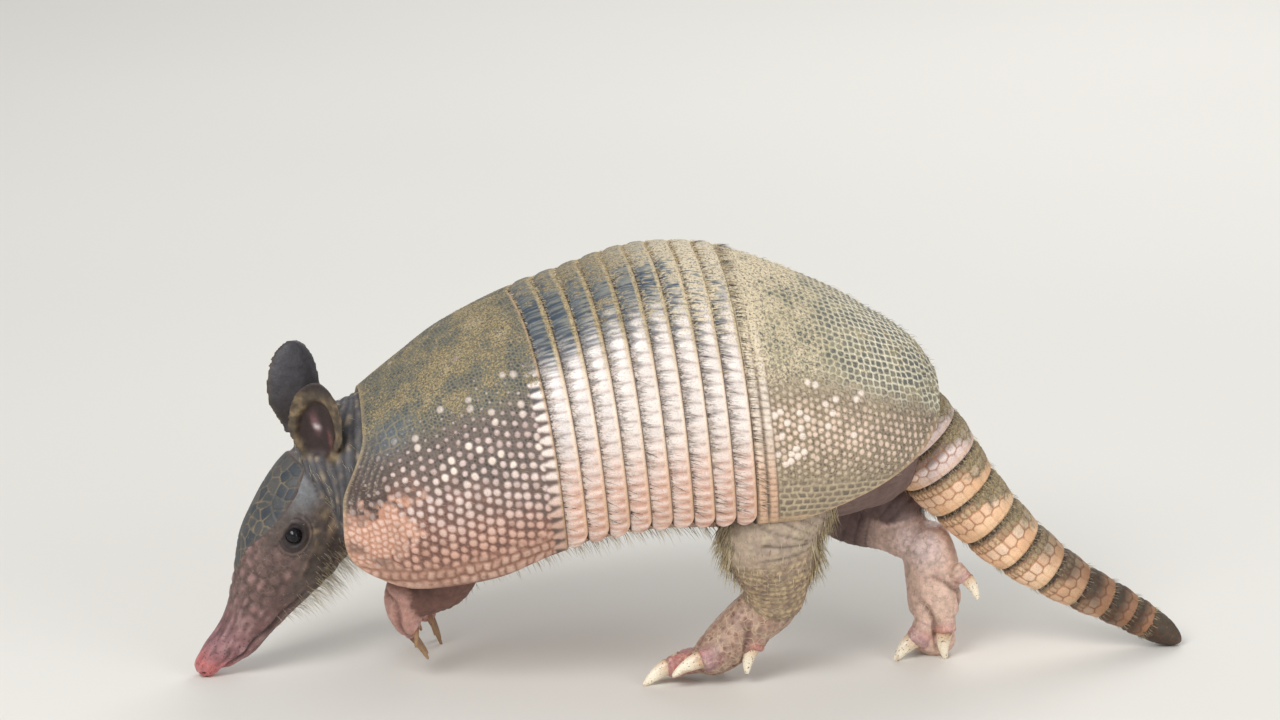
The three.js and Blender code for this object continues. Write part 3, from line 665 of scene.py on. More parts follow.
def shell_mesh(name, node, front, rear, steps, around, inset, thick, relief, paint, material, lobe=0.0):
    """A closed plate of the shell between two edges, with ends rounded by `lobe` degrees. `a` runs from 0 at
    its front edge to 1 at its rear: inset(a) is how far it is sunk and thick(a) is its thickness there.
    relief(points, x, degrees, a) gives its height and facts that paint() turns into colours."""
    a = np.linspace(0, 1, steps)[:, None]
    reach = SHELL_ARC - lobe * (1 - np.sqrt(1 - 0.98 * (2 * a - 1) ** 2))
    degrees = reach * np.linspace(1, -1, around)[None, :]
    x = lerp(front(degrees), rear(degrees), a)
    base = trunk_point(x, degrees)
    normals = grid_normals(base)
    if np.mean(np.sum(normals * (base - base.mean((0, 1))), -1)) < 0:
        normals = -normals
    facts = relief(base, x, degrees, a)
    margin = (reach - np.abs(degrees)) * MARGIN_DEGREE
    length = np.linalg.norm(np.diff(base, axis=0), axis=-1).sum(0)
    to_edge = np.minimum(np.minimum(a, 1 - a) * length, margin)
    edge_radius = 0.9
    rounding = edge_radius * (1 - np.sqrt(1 - np.clip(1 - to_edge / edge_radius, 0, 1) ** 2))
    height = facts["height"] * smooth(0, 1.2, to_edge) - rounding - inset(a)
    outer = base + normals * height[..., None]
    inner_rows = np.linspace(steps - 1, 0, 5).astype(int)
    inner = base[inner_rows] - normals[inner_rows] * thick(a[inner_rows])[..., None]
    points = np.concatenate([outer, inner]).reshape(-1, 3)
    faces = slab_faces(steps + len(inner_rows), around)
    paints = paint(base, x, degrees, facts)
    for key, values in paints.items():
        under = np.broadcast_to(HORN_UNDER, inner.shape) if key == "tint" else np.zeros(inner.shape[:2])
        values = np.concatenate([values, under])
        paints[key] = values.reshape(-1, 3) if key == "tint" else values.ravel()
    slot = "band" if node.startswith("band") else "shell"
    return piece(name, points, facing_out(points, faces), [node], slot, material, **paints)


def facing_out(points, faces):
    """A closed mesh's faces, turned outwards by its signed volume."""
    a, b, c, d = (points[np.array([f[k] for f in faces if len(f) == 4])] for k in range(4))
    volume = np.sum(a * np.cross(b, c)) + np.sum(a * np.cross(c, d))
    return faces if volume > 0 else [face[::-1] for face in faces]


def ring_seeds(edge, direction, pitch_x, pitch_around, stop, jitter, seed):
    """Scute centres in rows that follow an edge of a shield, each row moved on by half a scute."""
    draw = np.random.default_rng(seed)
    fine = np.linspace(SHELL_ARC, -SHELL_ARC, 400)
    found = []
    for row in range(60):
        x = edge(fine) + direction * pitch_x * (row + 0.5)
        line = trunk_point(x, fine)
        length = np.concatenate([[0], np.cumsum(np.linalg.norm(np.diff(line, axis=0), axis=1))])
        count = max(8, round(length[-1] / pitch_around))
        place = (np.arange(count) + (0.5 if row % 2 else 0.02)) / count * length[-1]
        degrees = np.interp(place, length, fine) + draw.normal(0, jitter, count)
        x = edge(degrees) + direction * (pitch_x * (row + 0.5) + draw.normal(0, jitter, count))
        inside = (x - stop(degrees)) * direction < 1
        if not inside.any():
            break
        found.append(np.stack([x, degrees], -1)[inside])
    return np.concatenate(found)


def shell_cells(places):
    """Cells round places on the shell, each given by its x and its degrees."""
    return Cells(trunk_point(*places.T))


def scute_relief(mains, grains, size_of):
    """Domed scutes of a radius set by size_of, among small granules."""
    main_cells, grain_cells = shell_cells(mains), shell_cells(grains)
    rank = scrambled(np.arange(len(mains))[:, None], 5)
    radius = size_of(mains[:, 0], mains[:, 1], rank)

    def relief(points):
        uneven = warped(points, 2.2, 0.32, 3)
        near, distance, border = main_cells.at(uneven)
        g_near, _, g_border = grain_cells.at(uneven)
        dome = np.clip(1 - (distance / np.maximum(radius[near], 0.2)) ** 2, 0, 1)
        flat = np.clip(dome * 2.2, 0, 1) ** 0.7
        grain = smooth(0, 0.45, g_border)
        height = dome * (0.25 + 0.16 * radius[near]) + grain * 0.2 * (1 - flat) - 0.3
        return {"height": height + 0.1 * noise(points, 14, 8), "dome": dome, "flat": flat, "grain": grain,
                "rank": rank[near], "grain_rank": scrambled(g_near[..., None], 9), "border": border,
                "radius": radius[near]}

    return relief


def scapular():
    """The front shield: dusty and finely grained on top, domed scutes on the side, pinkish pebbles at its
    lower front, a row of long scutes at its rear edge and rows of bricks at its margin."""
    rear = lambda d: band_edge(0, d)
    mains = ring_seeds(rear, -1, 3.7, 4.1, front_edge, 0.16, 1)
    grains = ring_seeds(rear, -1, 1.35, 1.5, front_edge, 0.3, 2)
    pebble_cells = shell_cells(ring_seeds(rear, -1, 2.5, 2.7, front_edge, 0.5, 18))
    fringe_pitch = 2.9

    def pebble_zone(points, x, a):
        ragged = 9 * noise(points, 7, 27)
        return smooth(-74, -100, x + 0.35 * (a - 95) + ragged) * smooth(78, 102, a + ragged)

    def size_of(x, degrees, rank):
        a = np.abs(degrees)
        onset = 60 - 8 * smooth(-100, -50, x)
        size = lerp(0.6, 1.82, smooth(onset, onset + 28, a)) * lerp(0.8, 1.08, rank)
        size = size + 0.28 * smooth(80, 102, a)
        size = np.where((rank > 0.9) & (a > onset - 3) & (a < 88), 1.95, size)
        size = np.where(a < onset - 6, np.where(rank > 0.985, 1.5, 0), size)
        return size * (1 - 0.6 * smooth(-100, -107, x) * smooth(98, 80, a))

    scutes = scute_relief(mains, grains, size_of)

    def relief(points, x, degrees, a):
        facts = scutes(points)
        d = np.abs(degrees)
        number, _, round_pebble = pebble_cells.at(warped(points, 2.0, 0.4, 19))
        turn = scrambled(number[..., None], 13)
        pebble = smooth(0.0, 0.4, pebble_zone(points, x, d) * 1.4 - 0.8 * turn - 0.1)
        facts["round"], facts["number"] = smooth(0, 0.7, round_pebble), number
        height = lerp(facts["height"], 0.46 * facts["round"] - 0.26, pebble)
        fringe = smooth(-97, -106, x - 0.1 * (d - 60)) * smooth(48, 60, d) * smooth(104, 90, d)
        column = np.sin((x - front_edge(degrees)) * 2 * math.pi / fringe_pitch + 0.8 * noise(points, 5, 4))
        height = height + 0.16 * column * fringe
        wave = off_middle(np.radians(degrees) * (SHELL_RADIUS - 1) / SCUTE)
        back = rear(degrees) - x
        into = smooth(6.2, 5.0, back + wave) * smooth(44, 58, d)
        tooth = into * smooth(1.0, 0.35, wave + 0.35 * smooth(1.5, 5.5, back) + 0.14 * noise(points, 1.5, 17))
        height = lerp(height, 0.4 * tooth - 0.2, into)
        brick, own = plates(to_margin(d), x, 2.9, 3.6, 14, 0.9)
        low = smooth(110, 114, d + 2 * noise(points, 3, 15)) * (1 - into)
        network = bump_at(d, 56, 18) * bump_at(x, -98, 15)
        height = lerp(height, 0.56 * brick - 0.3, low)
        facts["height"] = height + 0.2 * smooth(0.1, 0.5, facts["border"]) * network
        facts.update(into=into, tooth=tooth, low=low, brick=brick, own=own, pebble=pebble, back=back,
                     fringe=fringe, column=column, network=network)
        return facts

    def paint(points, x, degrees, facts):
        d = np.abs(degrees)
        big, small = rough_noise(points, 16, 11), rough_noise(points, 5, 12)
        grain, rank, fringe = facts["grain"], facts["grain_rank"], facts["fringe"]
        dome, radius = facts["dome"], facts["radius"]
        orange = smooth(92, 112, d)
        bare = smooth(0.05, 0.5, rough_noise(points, 10, 23) + 0.35 * smooth(20, 50, d) - 0.12)
        cell = blend(SLATE * 0.72, (96, 100, 96), rank * (1 - 0.6 * bare))
        granule = blend((118, 104, 96), blend((68, 62, 60), (110, 98, 92), rank), grain)
        rosy = blend((120, 82, 70), (176, 130, 112), grain * (0.4 + 0.6 * rank))
        granule = blend(granule, rosy, smooth(78, 104, d + 0.25 * (-80 - x) + 10 * small) * 0.9)
        chain = blend((78, 70, 68), (152, 138, 120), smooth(-0.3, 0.7, facts["column"]) * grain)
        fringe_soot = fringe * smooth(0.1, 0.4, noise(points, 7, 24) + 0.25 * smooth(70, 90, d))
        rim = blend((136, 108, 100), (168, 118, 98), orange)
        own = scrambled(np.round(facts["rank"] * 9999)[..., None].astype(np.int64), 26)
        crown = layered(blend((226, 204, 196), (228, 180, 158), orange),
                        (IVORY, smooth(1.75, 1.9, radius) * smooth(92, 84, d)),
                        (rim, 0.5 * own * (radius < 1.9)))
        pebbles = blend((238, 192, 168), (224, 172, 146), scrambled(facts["number"][..., None], 25))
        # a painted highlight on each pebble's middle
        pebbles = blend(pebbles, (244, 216, 204), smooth(0.6, 1.0, facts["round"]) * 0.5)
        pebble_soot = smooth(0.05, 0.6, noise(points, 5, 28) + 0.7 * bump_at(d, 84, 12))
        pebble_soot = pebble_soot * smooth(-92, -100, x)
        gap = blend(SLATE, (112, 92, 84), smooth(50, 80, d))
        tooth = blend((238, 222, 212), (226, 184, 164), smooth(88, 110, d))
        brick = blend((236, 196, 176), (208, 160, 138), facts["own"])
        front_lip = blend((176, 156, 124), (210, 166, 136), smooth(84, 104, d))
        tint = layered(
            blend((132, 124, 100), cell, grain),
            (granule, smooth(56, 70, d + 6 * small)),
            (chain, fringe * 0.8),
            ((74, 58, 54), fringe_soot * 0.7),
            # each scute pales from its rim to its crown: partly its own colour, partly painted shading that
            # rounds the dome
            (blend(rim, crown, smooth(0.05, 0.8, dome)),
             smooth(0.0, 0.7, dome) * (1 - 0.5 * fringe) * lerp(0.55, 1.0, smooth(58, 78, d))),
            # painted shade at the pebbles' edges
            (blend((198, 144, 118), pebbles, facts["round"]), facts["pebble"] * 0.9),
            ((112, 88, 78), pebble_soot * facts["pebble"] * 0.6),
            (blend(gap, tooth, facts["tooth"]), facts["into"]),
            (blend((156, 110, 90), brick, facts["brick"]), facts["low"] * 0.85),
            (blend((150, 140, 118), (88, 100, 110), smooth(0.1, 0.5, facts["border"])),
             facts["network"] * 0.7),
            ((206, 172, 134), smooth(1.3, 0.5, facts["back"]) * 0.7),
            (front_lip, smooth(2.5, 0.6, x - front_edge(degrees)) * 0.6))
        # painted shade: darker towards the lower margin, and a little darker on top
        tint = tint * (1 - 0.22 * smooth(92, 116, d) - 0.06 * smooth(60, 40, d))[..., None]
        clear = smooth(0.45, 0.9, rank) * grain
        dust = smooth(72, 50, d + 6 * small) * np.clip(
            0.66 + 0.7 * big + 0.4 * small - 0.4 * clear - 0.6 * bare, 0, 1)
        dust = dust * (1 - 0.6 * facts["flat"]) * (1 - facts["network"]) * (1 - 0.7 * fringe)
        return {"tint": tint * (1 + 0.12 * small[..., None]), "dust": dust,
                "bright": 0.25 * smooth(0.2, 1.0, big), "gloss": np.clip(dome + facts["tooth"], 0, 1)}

    return shell_mesh("scapular_plate", "scapular_shield", front_edge, rear, 184, 512, lambda a: 0 * a,
                      lambda a: lerp(2.2, 1.0, smooth(0.9, 0.96, a)), relief, paint, SHIELD_HORN)


def band(i):
    """One band: pale scutes that spread from its front to a smooth rear strip, combed with dark lines."""
    front, rear = lambda d: band_edge(i - 1, d) - TUCK, lambda d: band_edge(i, d)
    hidden = 0.21  # the share of its length that is under the piece before it

    def inset(a):
        return lerp(1.45, 0.0, smooth(0.0, 0.5, a)) + 0.15 * smooth(0.8, 0.95, a)

    def relief(points, x, degrees, a):
        arc = np.radians(degrees) * SHELL_RADIUS + i * 1.7
        shown = np.clip((a - hidden) / (1 - hidden), 0, 1)
        this_band = np.full_like(arc, i)
        wobble = 0.22 * noise(np.stack([arc / SCUTE, this_band], -1), 1.3, i)
        wave = off_middle(arc / SCUTE + wobble)
        own = scrambled(np.stack([np.floor(arc / SCUTE + wobble), this_band], -1).astype(np.int64), 3)
        lines = noise(np.stack([arc / 0.5, x / 7], -1), 1.0, 40 + i)
        start = lerp(0.12, 0.46, wave**1.6) + 0.1 * lines + 0.1 * (own - 0.5)
        scute = smooth(start - 0.05, start + 0.3, shown)
        strip = smooth(0.78, 0.86, shown)
        seam = smooth(0.8, 1.0, wave)
        height = 1.2 * shown * (1 - shown) + 0.09 * (1 - wave) * shown
        height += (0.09 * scute + 0.08 * lines) * (1 - strip) - 0.05 * seam * strip
        return {"height": height, "scute": scute, "strip": strip, "seam": seam, "lines": lines,
                "own": own, "shown": shown, "wave": wave}

    def paint(points, x, degrees, facts):
        d = np.abs(degrees)
        big, small = rough_noise(points, 20, 21), rough_noise(points, 4, 22)
        far_back = (i - 1) / (BANDS - 1)
        shown, scute, lines, wave = (facts[key] for key in ("shown", "scute", "lines", "wave"))
        side = smooth(40 - 20 * far_back, 60 - 14 * far_back, d + 8 * big + 5 * lines)
        low = smooth(74, 106, d + 5 * small)
        stripe = smooth(-0.5, 0.5, lines)
        dark = blend(blend((52, 66, 82), (150, 140, 134), smooth(36, 62, d)), (200, 160, 142), low)
        pale = blend((122, 128, 128), (236, 220, 210), smooth(36, 66, d))
        # the tops grow lighter from the front bands to the rear ones: painted light and shade
        top = blend((58, 74, 90), (144, 142, 130), stripe * 0.8) * (0.82 + 0.5 * far_back)
        # paler at the middle of each scute low on the side: its own pale colour with a painted highlight
        pink = blend((220, 174, 152), (242, 214, 202), smooth(0.62, 0.1, wave))
        between = blend((170, 150, 144), (182, 134, 112), low)
        white = layered(blend((230, 221, 216), (240, 229, 221), smooth(0.0, 0.3, far_back + 0.3 * big)),
                        (pink, low), (between, facts["own"] * 0.15 + wave**5 * 0.8))
        strip = blend((196, 176, 136), blend((242, 222, 202), (230, 188, 158), low), smooth(40, 70, d))
        strip = blend(strip, strip * 0.62, facts["seam"] * smooth(0.95, 0.8, shown) * 0.8)
        tint = layered(
            blend(dark, pale, stripe * 0.75),
            (blend(top, white, side), scute),
            (strip, facts["strip"] * 0.9),
            ((200, 162, 124), bump_at(shown, 0.96, 0.03) * 0.45),
            # painted shade: a dark line at the rear edge, where the band's edge rolls down
            ((92, 62, 48), smooth(0.975, 1.0, shown) * 0.7),
            # painted shade at the band's front, where it comes out from under the piece before it
            ((58, 46, 42), smooth(0.08, 0.0, shown)))
        upper = smooth(64 - 6 * far_back, 34, d + 6 * small)
        dust = 0.08 + 0.6 * big + 0.4 * small + 0.75 * far_back + 0.45 * smooth(28, 10, d)
        dust = np.maximum(upper * np.clip(dust, 0, 1), upper * smooth(0.7, 0.84, shown) * 0.8)
        return {"tint": tint * (1 + 0.1 * small[..., None]), "dust": dust * (1 - 0.35 * stripe),
                "bright": np.full_like(d, smooth(0.3, 0.9, far_back)),
                "gloss": np.clip(scute * side * 0.9 + 0.15, 0, 1),
                "comb": smooth(0.66, 0.2, shown + 0.2 * lines) * (0.56 - 0.4 * low)}

    return shell_mesh(f"band_plate_{i}", f"band_{i}", front, rear, 28, 560, inset,
                      lambda a: lerp(2.3, 1.0, smooth(0.5, 0.75, a)), relief, paint, BAND_HORN, lobe=7.0)


def pelvic():
    """The rear shield: two narrow rows like small bands, then columns of little scutes, dusty above with
    darker cells, creamy on the side with a few white ones, and bricks below."""
    row_length, row_scute, bright_radius = 4.2, 2.7, 1.6
    front = lambda d: band_edge(BANDS, d) - TUCK
    start = lambda d: band_edge(BANDS, d)
    mains = ring_seeds(start, 1, 2.6, 3.0, rear_edge, 0.2, 6)
    grains = ring_seeds(start, 1, 1.2, 1.35, rear_edge, 0.3, 7)

    def size_of(x, degrees, rank):
        a = np.abs(degrees)
        size = lerp(0.95, 1.4, bump_at(a, 80, 30)) * lerp(0.78, 1.1, rank)
        group = noise(np.stack([x, degrees], -1), 11, 33) > 0.0
        bright = (rank > 0.8) & group & (np.abs(a - 76) < 17) & (x < 84)
        return np.where(bright, bright_radius, size)

    scutes = scute_relief(mains, grains, size_of)

    def relief(points, x, degrees, a):
        facts = scutes(points)
        offset = x - start(degrees)
        d = np.abs(degrees)
        rows = smooth(9.0, 8.0, offset) * smooth(-1.5, 0.0, offset) * smooth(30, 55, d)
        line = np.floor(offset / row_length)
        step = (offset / row_length) % 1
        arc = np.radians(degrees) * SHELL_RADIUS / row_scute
        wobble = 0.2 * noise(np.stack([arc, line], -1), 1.2, 36)
        wave = off_middle(arc + wobble + 0.5 * line)
        row = smooth(0.0, 0.34, step) * smooth(1.0, 0.88, step)
        bead = smooth(1.0, 0.55, wave + 0.2 * noise(points, 1.0, 37)) * smooth(1.0, 0.7, step)
        brick, own = plates(to_margin(d), x, 2.6, 3.4, 34, 0.8)
        low = smooth(95, 104, d + 3 * noise(points, 4, 35)) * (1 - rows)
        height = lerp(facts["height"] - 0.05, (0.4 * row + 0.16 * bead) - 0.35, rows)
        facts["height"] = lerp(height, 0.3 * brick - 0.2, low)
        facts.update(rows=rows, row=row, bead=bead, offset=offset, brick=brick, own=own, low=low)
        return facts

    def paint(points, x, degrees, facts):
        d = np.abs(degrees)
        big, small = rough_noise(points, 24, 31), rough_noise(points, 5, 32)
        rank, grain, dome, border = (facts[key] for key in ("rank", "grain", "dome", "border"))
        side = smooth(50, 68, d + 6 * small)
        middle = bump_at(d, 80, 32)
        line = blend((200, 188, 152), (244, 234, 206), smooth(55, 90, x + 10 * small))
        cell = blend((80, 86, 86), (142, 136, 114), smooth(0.2, 1.0, rank + 0.7 * small) * 0.8 + 0.15 * grain)
        ground = blend((156, 138, 114), (84, 72, 64), grain * (0.6 + 0.4 * facts["grain_rank"]))
        crown = blend((206, 188, 158), (228, 202, 182), middle) * (1 - 0.2 * bump_at(d, 58, 12))[..., None]
        brick = blend((96, 88, 80), (138, 122, 104), facts["own"])
        brick = blend((196, 178, 148), brick, smooth(0.15, 0.8, facts["brick"]) * 0.9)
        strip = blend((236, 222, 206), (234, 190, 160), smooth(74, 104, d))
        strip = blend(blend(strip, (140, 116, 98), 0.75), strip, facts["bead"])
        rim = np.maximum(smooth(4.0, 1.0, rear_edge(degrees) - x) * smooth(50, 90, d), smooth(114, 119, d))
        tint = layered(
            blend(line, cell, smooth(0.0, 0.6, border) * 0.95),
            (ground, side * 0.9),
            # each scute pales from its edge to its crown: partly its own colour, partly painted shading that
            # rounds the dome
            (blend((150, 130, 110), crown, smooth(0.05, 0.7, dome)),
             smooth(0.0, 0.4, dome) * lerp(0.45, 1.0, middle) * smooth(44, 60, d)),
            (IVORY, smooth(bright_radius - 0.04, bright_radius, facts["radius"]) * dome * 1.7),
            (brick, facts["low"] * 0.9),
            (blend((118, 96, 80), strip, facts["row"]), facts["rows"] * 0.8),
            ((206, 172, 138), rim * 0.6),
            # painted shade where the shield comes out from under the last band
            ((58, 46, 42), smooth(0.3, -0.8, facts["offset"])))
        upper = smooth(80, 44, d + 8 * small)
        dust = upper * np.clip(0.25 + 0.65 * smooth(78, 40, x + 16 * big) + 0.5 * small, 0, 0.95)
        dust = dust * (1 - 0.35 * smooth(0.3, 0.9, rank) * smooth(0.2, 0.8, border))
        return {"tint": tint * (1 + 0.12 * small[..., None]), "dust": np.maximum(dust, 0.15 * (1 - side)),
                "bright": smooth(90, 50, x + 20 * big), "gloss": np.clip(dome * side, 0, 1) * 0.7}

    inset = lambda a: 1.45 * smooth(0.075, 0.01, a)
    return shell_mesh("pelvic_plate", "pelvic_shield", front, rear_edge, 196, 480, inset,
                      lambda a: 2.3 + 0 * a, relief, paint, SHIELD_HORN)


# ---------------------------------------------------------------- the tail
def ring_end(i):
    """Where the i-th ring ends, as a share of the tail's length."""
    return RINGS_SHARE * (i / TAIL_RINGS) ** 0.94


def tail_out(s, angle):
    """The tail's centre, its axis, the way out of it at `angle` and its radius, at shares s of its length."""
    centre, axis, side, up, r = tail_line(s)
    return centre, axis, side * np.sin(angle)[..., None] + up * np.cos(angle)[..., None], r


def tail_piece(name, node, s0, s1, number, tip=False):
    """A ring: small dusty scales, six-sided bumps, then smooth plates that meet them in a zigzag, with a lip
    that stands over the next ring; or the blunt tip with its little scales."""
    length = np.linalg.norm(tail_line(np.array(s1))[0] - tail_line(np.array(s0))[0])
    radius = float(tail_line(np.array((s0 + s1) / 2))[4])
    rows = max(14, round((length + 2) / 0.42))
    around = max(72, round(2 * math.pi * radius / 0.5))
    a = np.linspace(0, 1, rows)[:, None]
    tuck = 0.0 if number == 0 else 1.6 / length * (s1 - s0)
    s = lerp(s0 - tuck, s1, a) + np.zeros(around)
    angle = turns(around) + np.zeros((rows, 1))
    centre, _, outward, r = tail_out(s, angle)
    shape = np.sqrt(np.clip(1 - np.clip(a - 0.3, 0, 1) ** 2 / 0.5, 0.0004, 1)) if tip else np.ones_like(a)
    lip = 0 * s if tip else lerp(-1.1, 0.35, smooth(0.08, 0.3, a)) - 0.7 * smooth(0.94, 1.0, a) ** 2
    base = centre + outward * (r * shape)[..., None]

    # The rows of scales: each one's place along the piece and its count of scales.
    count = max(7, round(2 * math.pi * radius / 4.8))
    lines = [(0.17, 2 * count), (0.28, 2 * count), (0.52, count), (0.84, count)]
    if tip:
        lines = [(place, count) for place in (0.12, 0.34, 0.56, 0.78)]
    seeds = []
    for n, (place, scales) in enumerate(lines):
        turn = (np.arange(scales) + 0.5 * (n % 2)) / scales * 2 * math.pi
        middle, _, ring, seed_r = tail_out(np.array(lerp(s0 - tuck, s1, place)), turn)
        seeds.append(middle + ring * seed_r * shape[int(place * (rows - 1)), 0])
    line_of = np.repeat(np.arange(len(lines)), [scales for _, scales in lines])
    near, _, border = Cells(np.concatenate(seeds)).at(warped(base, 3, 0.3, 53))
    line = line_of[near]
    bumps, smooths = (line == 2) & (not tip), (line == 3) & (not tip)
    plate = smooth(0.0, 0.55, border)
    deep = np.where(bumps, 0.5, np.where(smooths, 0.3, 0.28)) * np.where(smooths, smooth(0.95, 0.7, a), 1)
    shown = 1 if tip else smooth(0.1, 0.2, a)
    height = (deep * plate * shown + lip * (r / 16) ** 0.4) * np.minimum(shape * 2, 1)
    outer = base + outward * height[..., None]
    outer[..., 2] = np.maximum(outer[..., 2], 0)
    points = np.concatenate([outer.reshape(-1, 3), [centre[0].mean(0), centre[-1].mean(0)]])
    faces = grid_faces(rows, around, close_columns=True).tolist()
    total = rows * around
    for p in range(around):
        q = (p + 1) % around
        faces += [[total, q, p], [total + 1, total - around + p, total - around + q]]

    small, big, own = rough_noise(base, 3, 51), rough_noise(base, 12, 52), scrambled(near[..., None], number)
    top = smooth(0.1, 0.8, np.cos(angle) + 0.35 * big + 1.1 * (0.4 - a) + 0.3 * small)
    # darker towards the tip: its own darker scales, with painted shade over the tip
    tip_dark = smooth(0.4, 0.72, s + 0.05 * big + 0.1 * np.cos(angle))
    purple = blend((112, 94, 102), (234, 214, 212), smooth(0.45, 0.75, a + 0.15 * own))
    # a painted highlight across the middle of the first rings' plates
    purple = blend(purple, (250, 236, 234), bump_at(a, 0.62, 0.12) * plate * 0.7)
    purple_share = {0: 0.95, 1: 0.8}.get(number, 0)
    soil = blend((172, 156, 120), (66, 66, 58), 0.45 + 0.9 * small)
    seam = blend(blend((168, 112, 78), (74, 62, 50), top * 0.7), (46, 34, 26), tip_dark * 0.7)
    seam_share = np.where(smooths, lerp(0.8, 0.3, smooth(0.72, 0.78, a)), 0.85)
    tint = layered(
        blend((250, 212, 174), (236, 186, 144), own),
        (blend((250, 218, 190), (236, 190, 152), own), bumps * plate),
        (blend((166, 134, 106), (196, 178, 138), small + 0.5),
         0.8 * (line < 2) * (not tip) * smooth(-0.75, 0.15, np.cos(angle))),
        (purple, purple_share * smooth(-0.9, -0.2, np.cos(angle))),
        (blend((26, 21, 13), (142, 98, 68), smooth(0.35, 0.8, a) * (not tip)), tip_dark * 0.95),
        (soil, top * 0.85 * (1 - 0.9 * tip_dark)),
        (seam, smooth(0.45, 0.1, border) * seam_share))
    if not tip:
        tint = layered(
            tint,
            # painted shade at each ring's front, under the lip of the ring before
            ((54, 36, 30), smooth(0.24, 0.13, a + 0.03 * small) + 0.25 * smooth(0.32, 0.2, a)),
            ((222, 172, 122), bump_at(a, 0.9, 0.07) * 0.5 * (1 - tip_dark) * (1 - top)))
    blotch = smooth(0.15, 0.6, noise(base, 5, 54)) * smooth(0.3, 0.6, s) * smooth(0.75, 0.2, a)
    tint = blend(tint, (70, 44, 30), 0.7 * blotch) * (1 + 0.14 * small[..., None])
    tint = np.concatenate([tint.reshape(-1, 3), [colour(70, 40, 32)] * 2])
    dust = np.maximum(top, 0.6 * (line < 2)) * lerp(0.7, 0.0, tip_dark) * (1 - 0.3 * plate)
    dust, gloss = (np.append(values, [0, 0]) for values in (dust, plate * (1 - top) * 0.8))
    faces = facing_out(points, faces)
    piece(name, points, faces, [node], "tail", TAIL_HORN, tint=tint, dust=dust, gloss=gloss)


def tail():
    for i in range(TAIL_RINGS):
        tail_piece(f"tail_plates_{i + 1:02d}", f"tail_ring_{i + 1:02d}", ring_end(i), ring_end(i + 1), i)
    tail_piece("tail_point", "tail_tip", RINGS_SHARE, 1.0, TAIL_RINGS, tip=True)


# ---------------------------------------------------------------- the skin
def ring_points(centre, across, fore, angle, side, front):
    return centre + across * (side * np.sin(angle))[..., None] + fore * (front * np.cos(angle))[..., None]


class Part:
    """A closed loft of flesh: rows of points round an axis, and what a point near it needs to know."""

    def __init__(self, name, centre, axis, across, fore, side, front, around):
        angle = turns(around)[None, :]
        self.name, self.rows, self.around = name, len(centre), around
        spread = [v[:, None] for v in (centre, across, fore)]
        self.points = ring_points(*spread, angle, side[:, None], front[:, None])
        steps = np.linalg.norm(np.diff(centre, axis=0), axis=-1)
        self.frame = (centre, axis, across, fore, np.concatenate([[0], np.cumsum(steps)]))


def frames(centre):
    """The axis of a line of points, and the level and upright directions across it."""
    axis = unit(np.gradient(centre, axis=0))
    return axis, *across_and_up(axis)


def limb(name, stations, around=40):
    """A limb on a smooth curve through its stations."""
    rows = table("x y z fore side", stations)
    rows["i"] = np.arange(len(stations))
    i = np.linspace(0, len(stations) - 1, 10 * len(stations))
    centre = np.stack([along(rows, "i", key, i) for key in "xyz"], -1)
    side, front = (np.maximum(along(rows, "i", key, i), 0) for key in ("side", "fore"))
    return Part(name, centre, *frames(centre), side, front, around)


def toe(name, knuckle, root, radius, taper=0.9):
    """A toe: a swollen knuckle, a waist, and a cuff that holds the claw."""
    u = np.linspace(0, 1, 16)
    centre = lerp(np.array(knuckle, float), np.array(root, float), 1.2 * u[:, None])
    swell = radius * (0.94 + 0.06 * np.cos(u * 2 * math.pi)) * lerp(1, taper, u)
    swell = swell * (1 - (2 * u - 1) ** 8) ** 0.5
    return Part(name, centre, *frames(centre), swell, swell, 24)


def flesh():
    """All the lofts of flesh."""
    u = np.linspace(0, 1, 70)
    rear, front, inset = 111.0, -109.0, 4.2  # the trunk's ends, and its depth under the shell
    x = lerp(rear, front, (1 - np.cos(u * math.pi)) / 2)
    full = (1 - np.abs(2 * u - 1) ** 5) ** (1 / 2.2)
    mid, belly = along(TRUNK, "x", "mid", x), along(TRUNK, "x", "belly", x)
    top = lerp(mid, along(TRUNK, "x", "top", x) - inset, full)
    belly = lerp(mid, belly, full)
    centre = np.stack([x, 0 * x, (top + belly) / 2], -1)
    level = np.tile([0.0, 1, 0], (len(x), 1))
    upright = np.tile([0.0, 0, 1], (len(x), 1))
    width = (along(TRUNK, "x", "width", x) - inset) * full
    yield Part("trunk", centre, np.cross(level, upright), level, upright, width, (top - belly) / 2, 90)
    yield limb("neck", NECK, 60)
    t = np.concatenate([np.linspace(-4.5, 4, 14), np.linspace(5, HEAD_LENGTH + 4, 90)])
    top, under = along(HEAD, "t", "top", t), along(HEAD, "t", "under", t)
    centre = head_point(t, 0 * t, (top + under) / 2)
    axes = [np.tile(v, (len(t), 1)) for v in (BACK, RIGHT, UP)]
    yield Part("head", centre, *axes, along(HEAD, "t", "width", t), (top - under) / 2, 72)
    for name, stations in LEGS.items():
        yield limb("leg_" + name, stations)
        yield limb("sole_" + name, SOLES[name])
        for i, (knuckle, root, _, radius) in enumerate(TOES[name]):
            slender = (radius * FINGER, 0.6) if name[0] == "f" else (radius,)
            yield toe(f"toe_{name}_{i + 1}", knuckle, root, *slender)
    yield limb("leg_hr", RUMP)
    (cx, cy, cz), (sx, sy, sz) = HEEL_PAD
    turn = np.linspace(0, math.pi, 14)
    centre = np.stack([cx + 0 * turn, cy + 0 * turn, cz - sz * np.cos(turn)], -1)
    yield Part("pad_hr", centre, *frames(centre), sy * np.sin(turn), sx * np.sin(turn), 24)


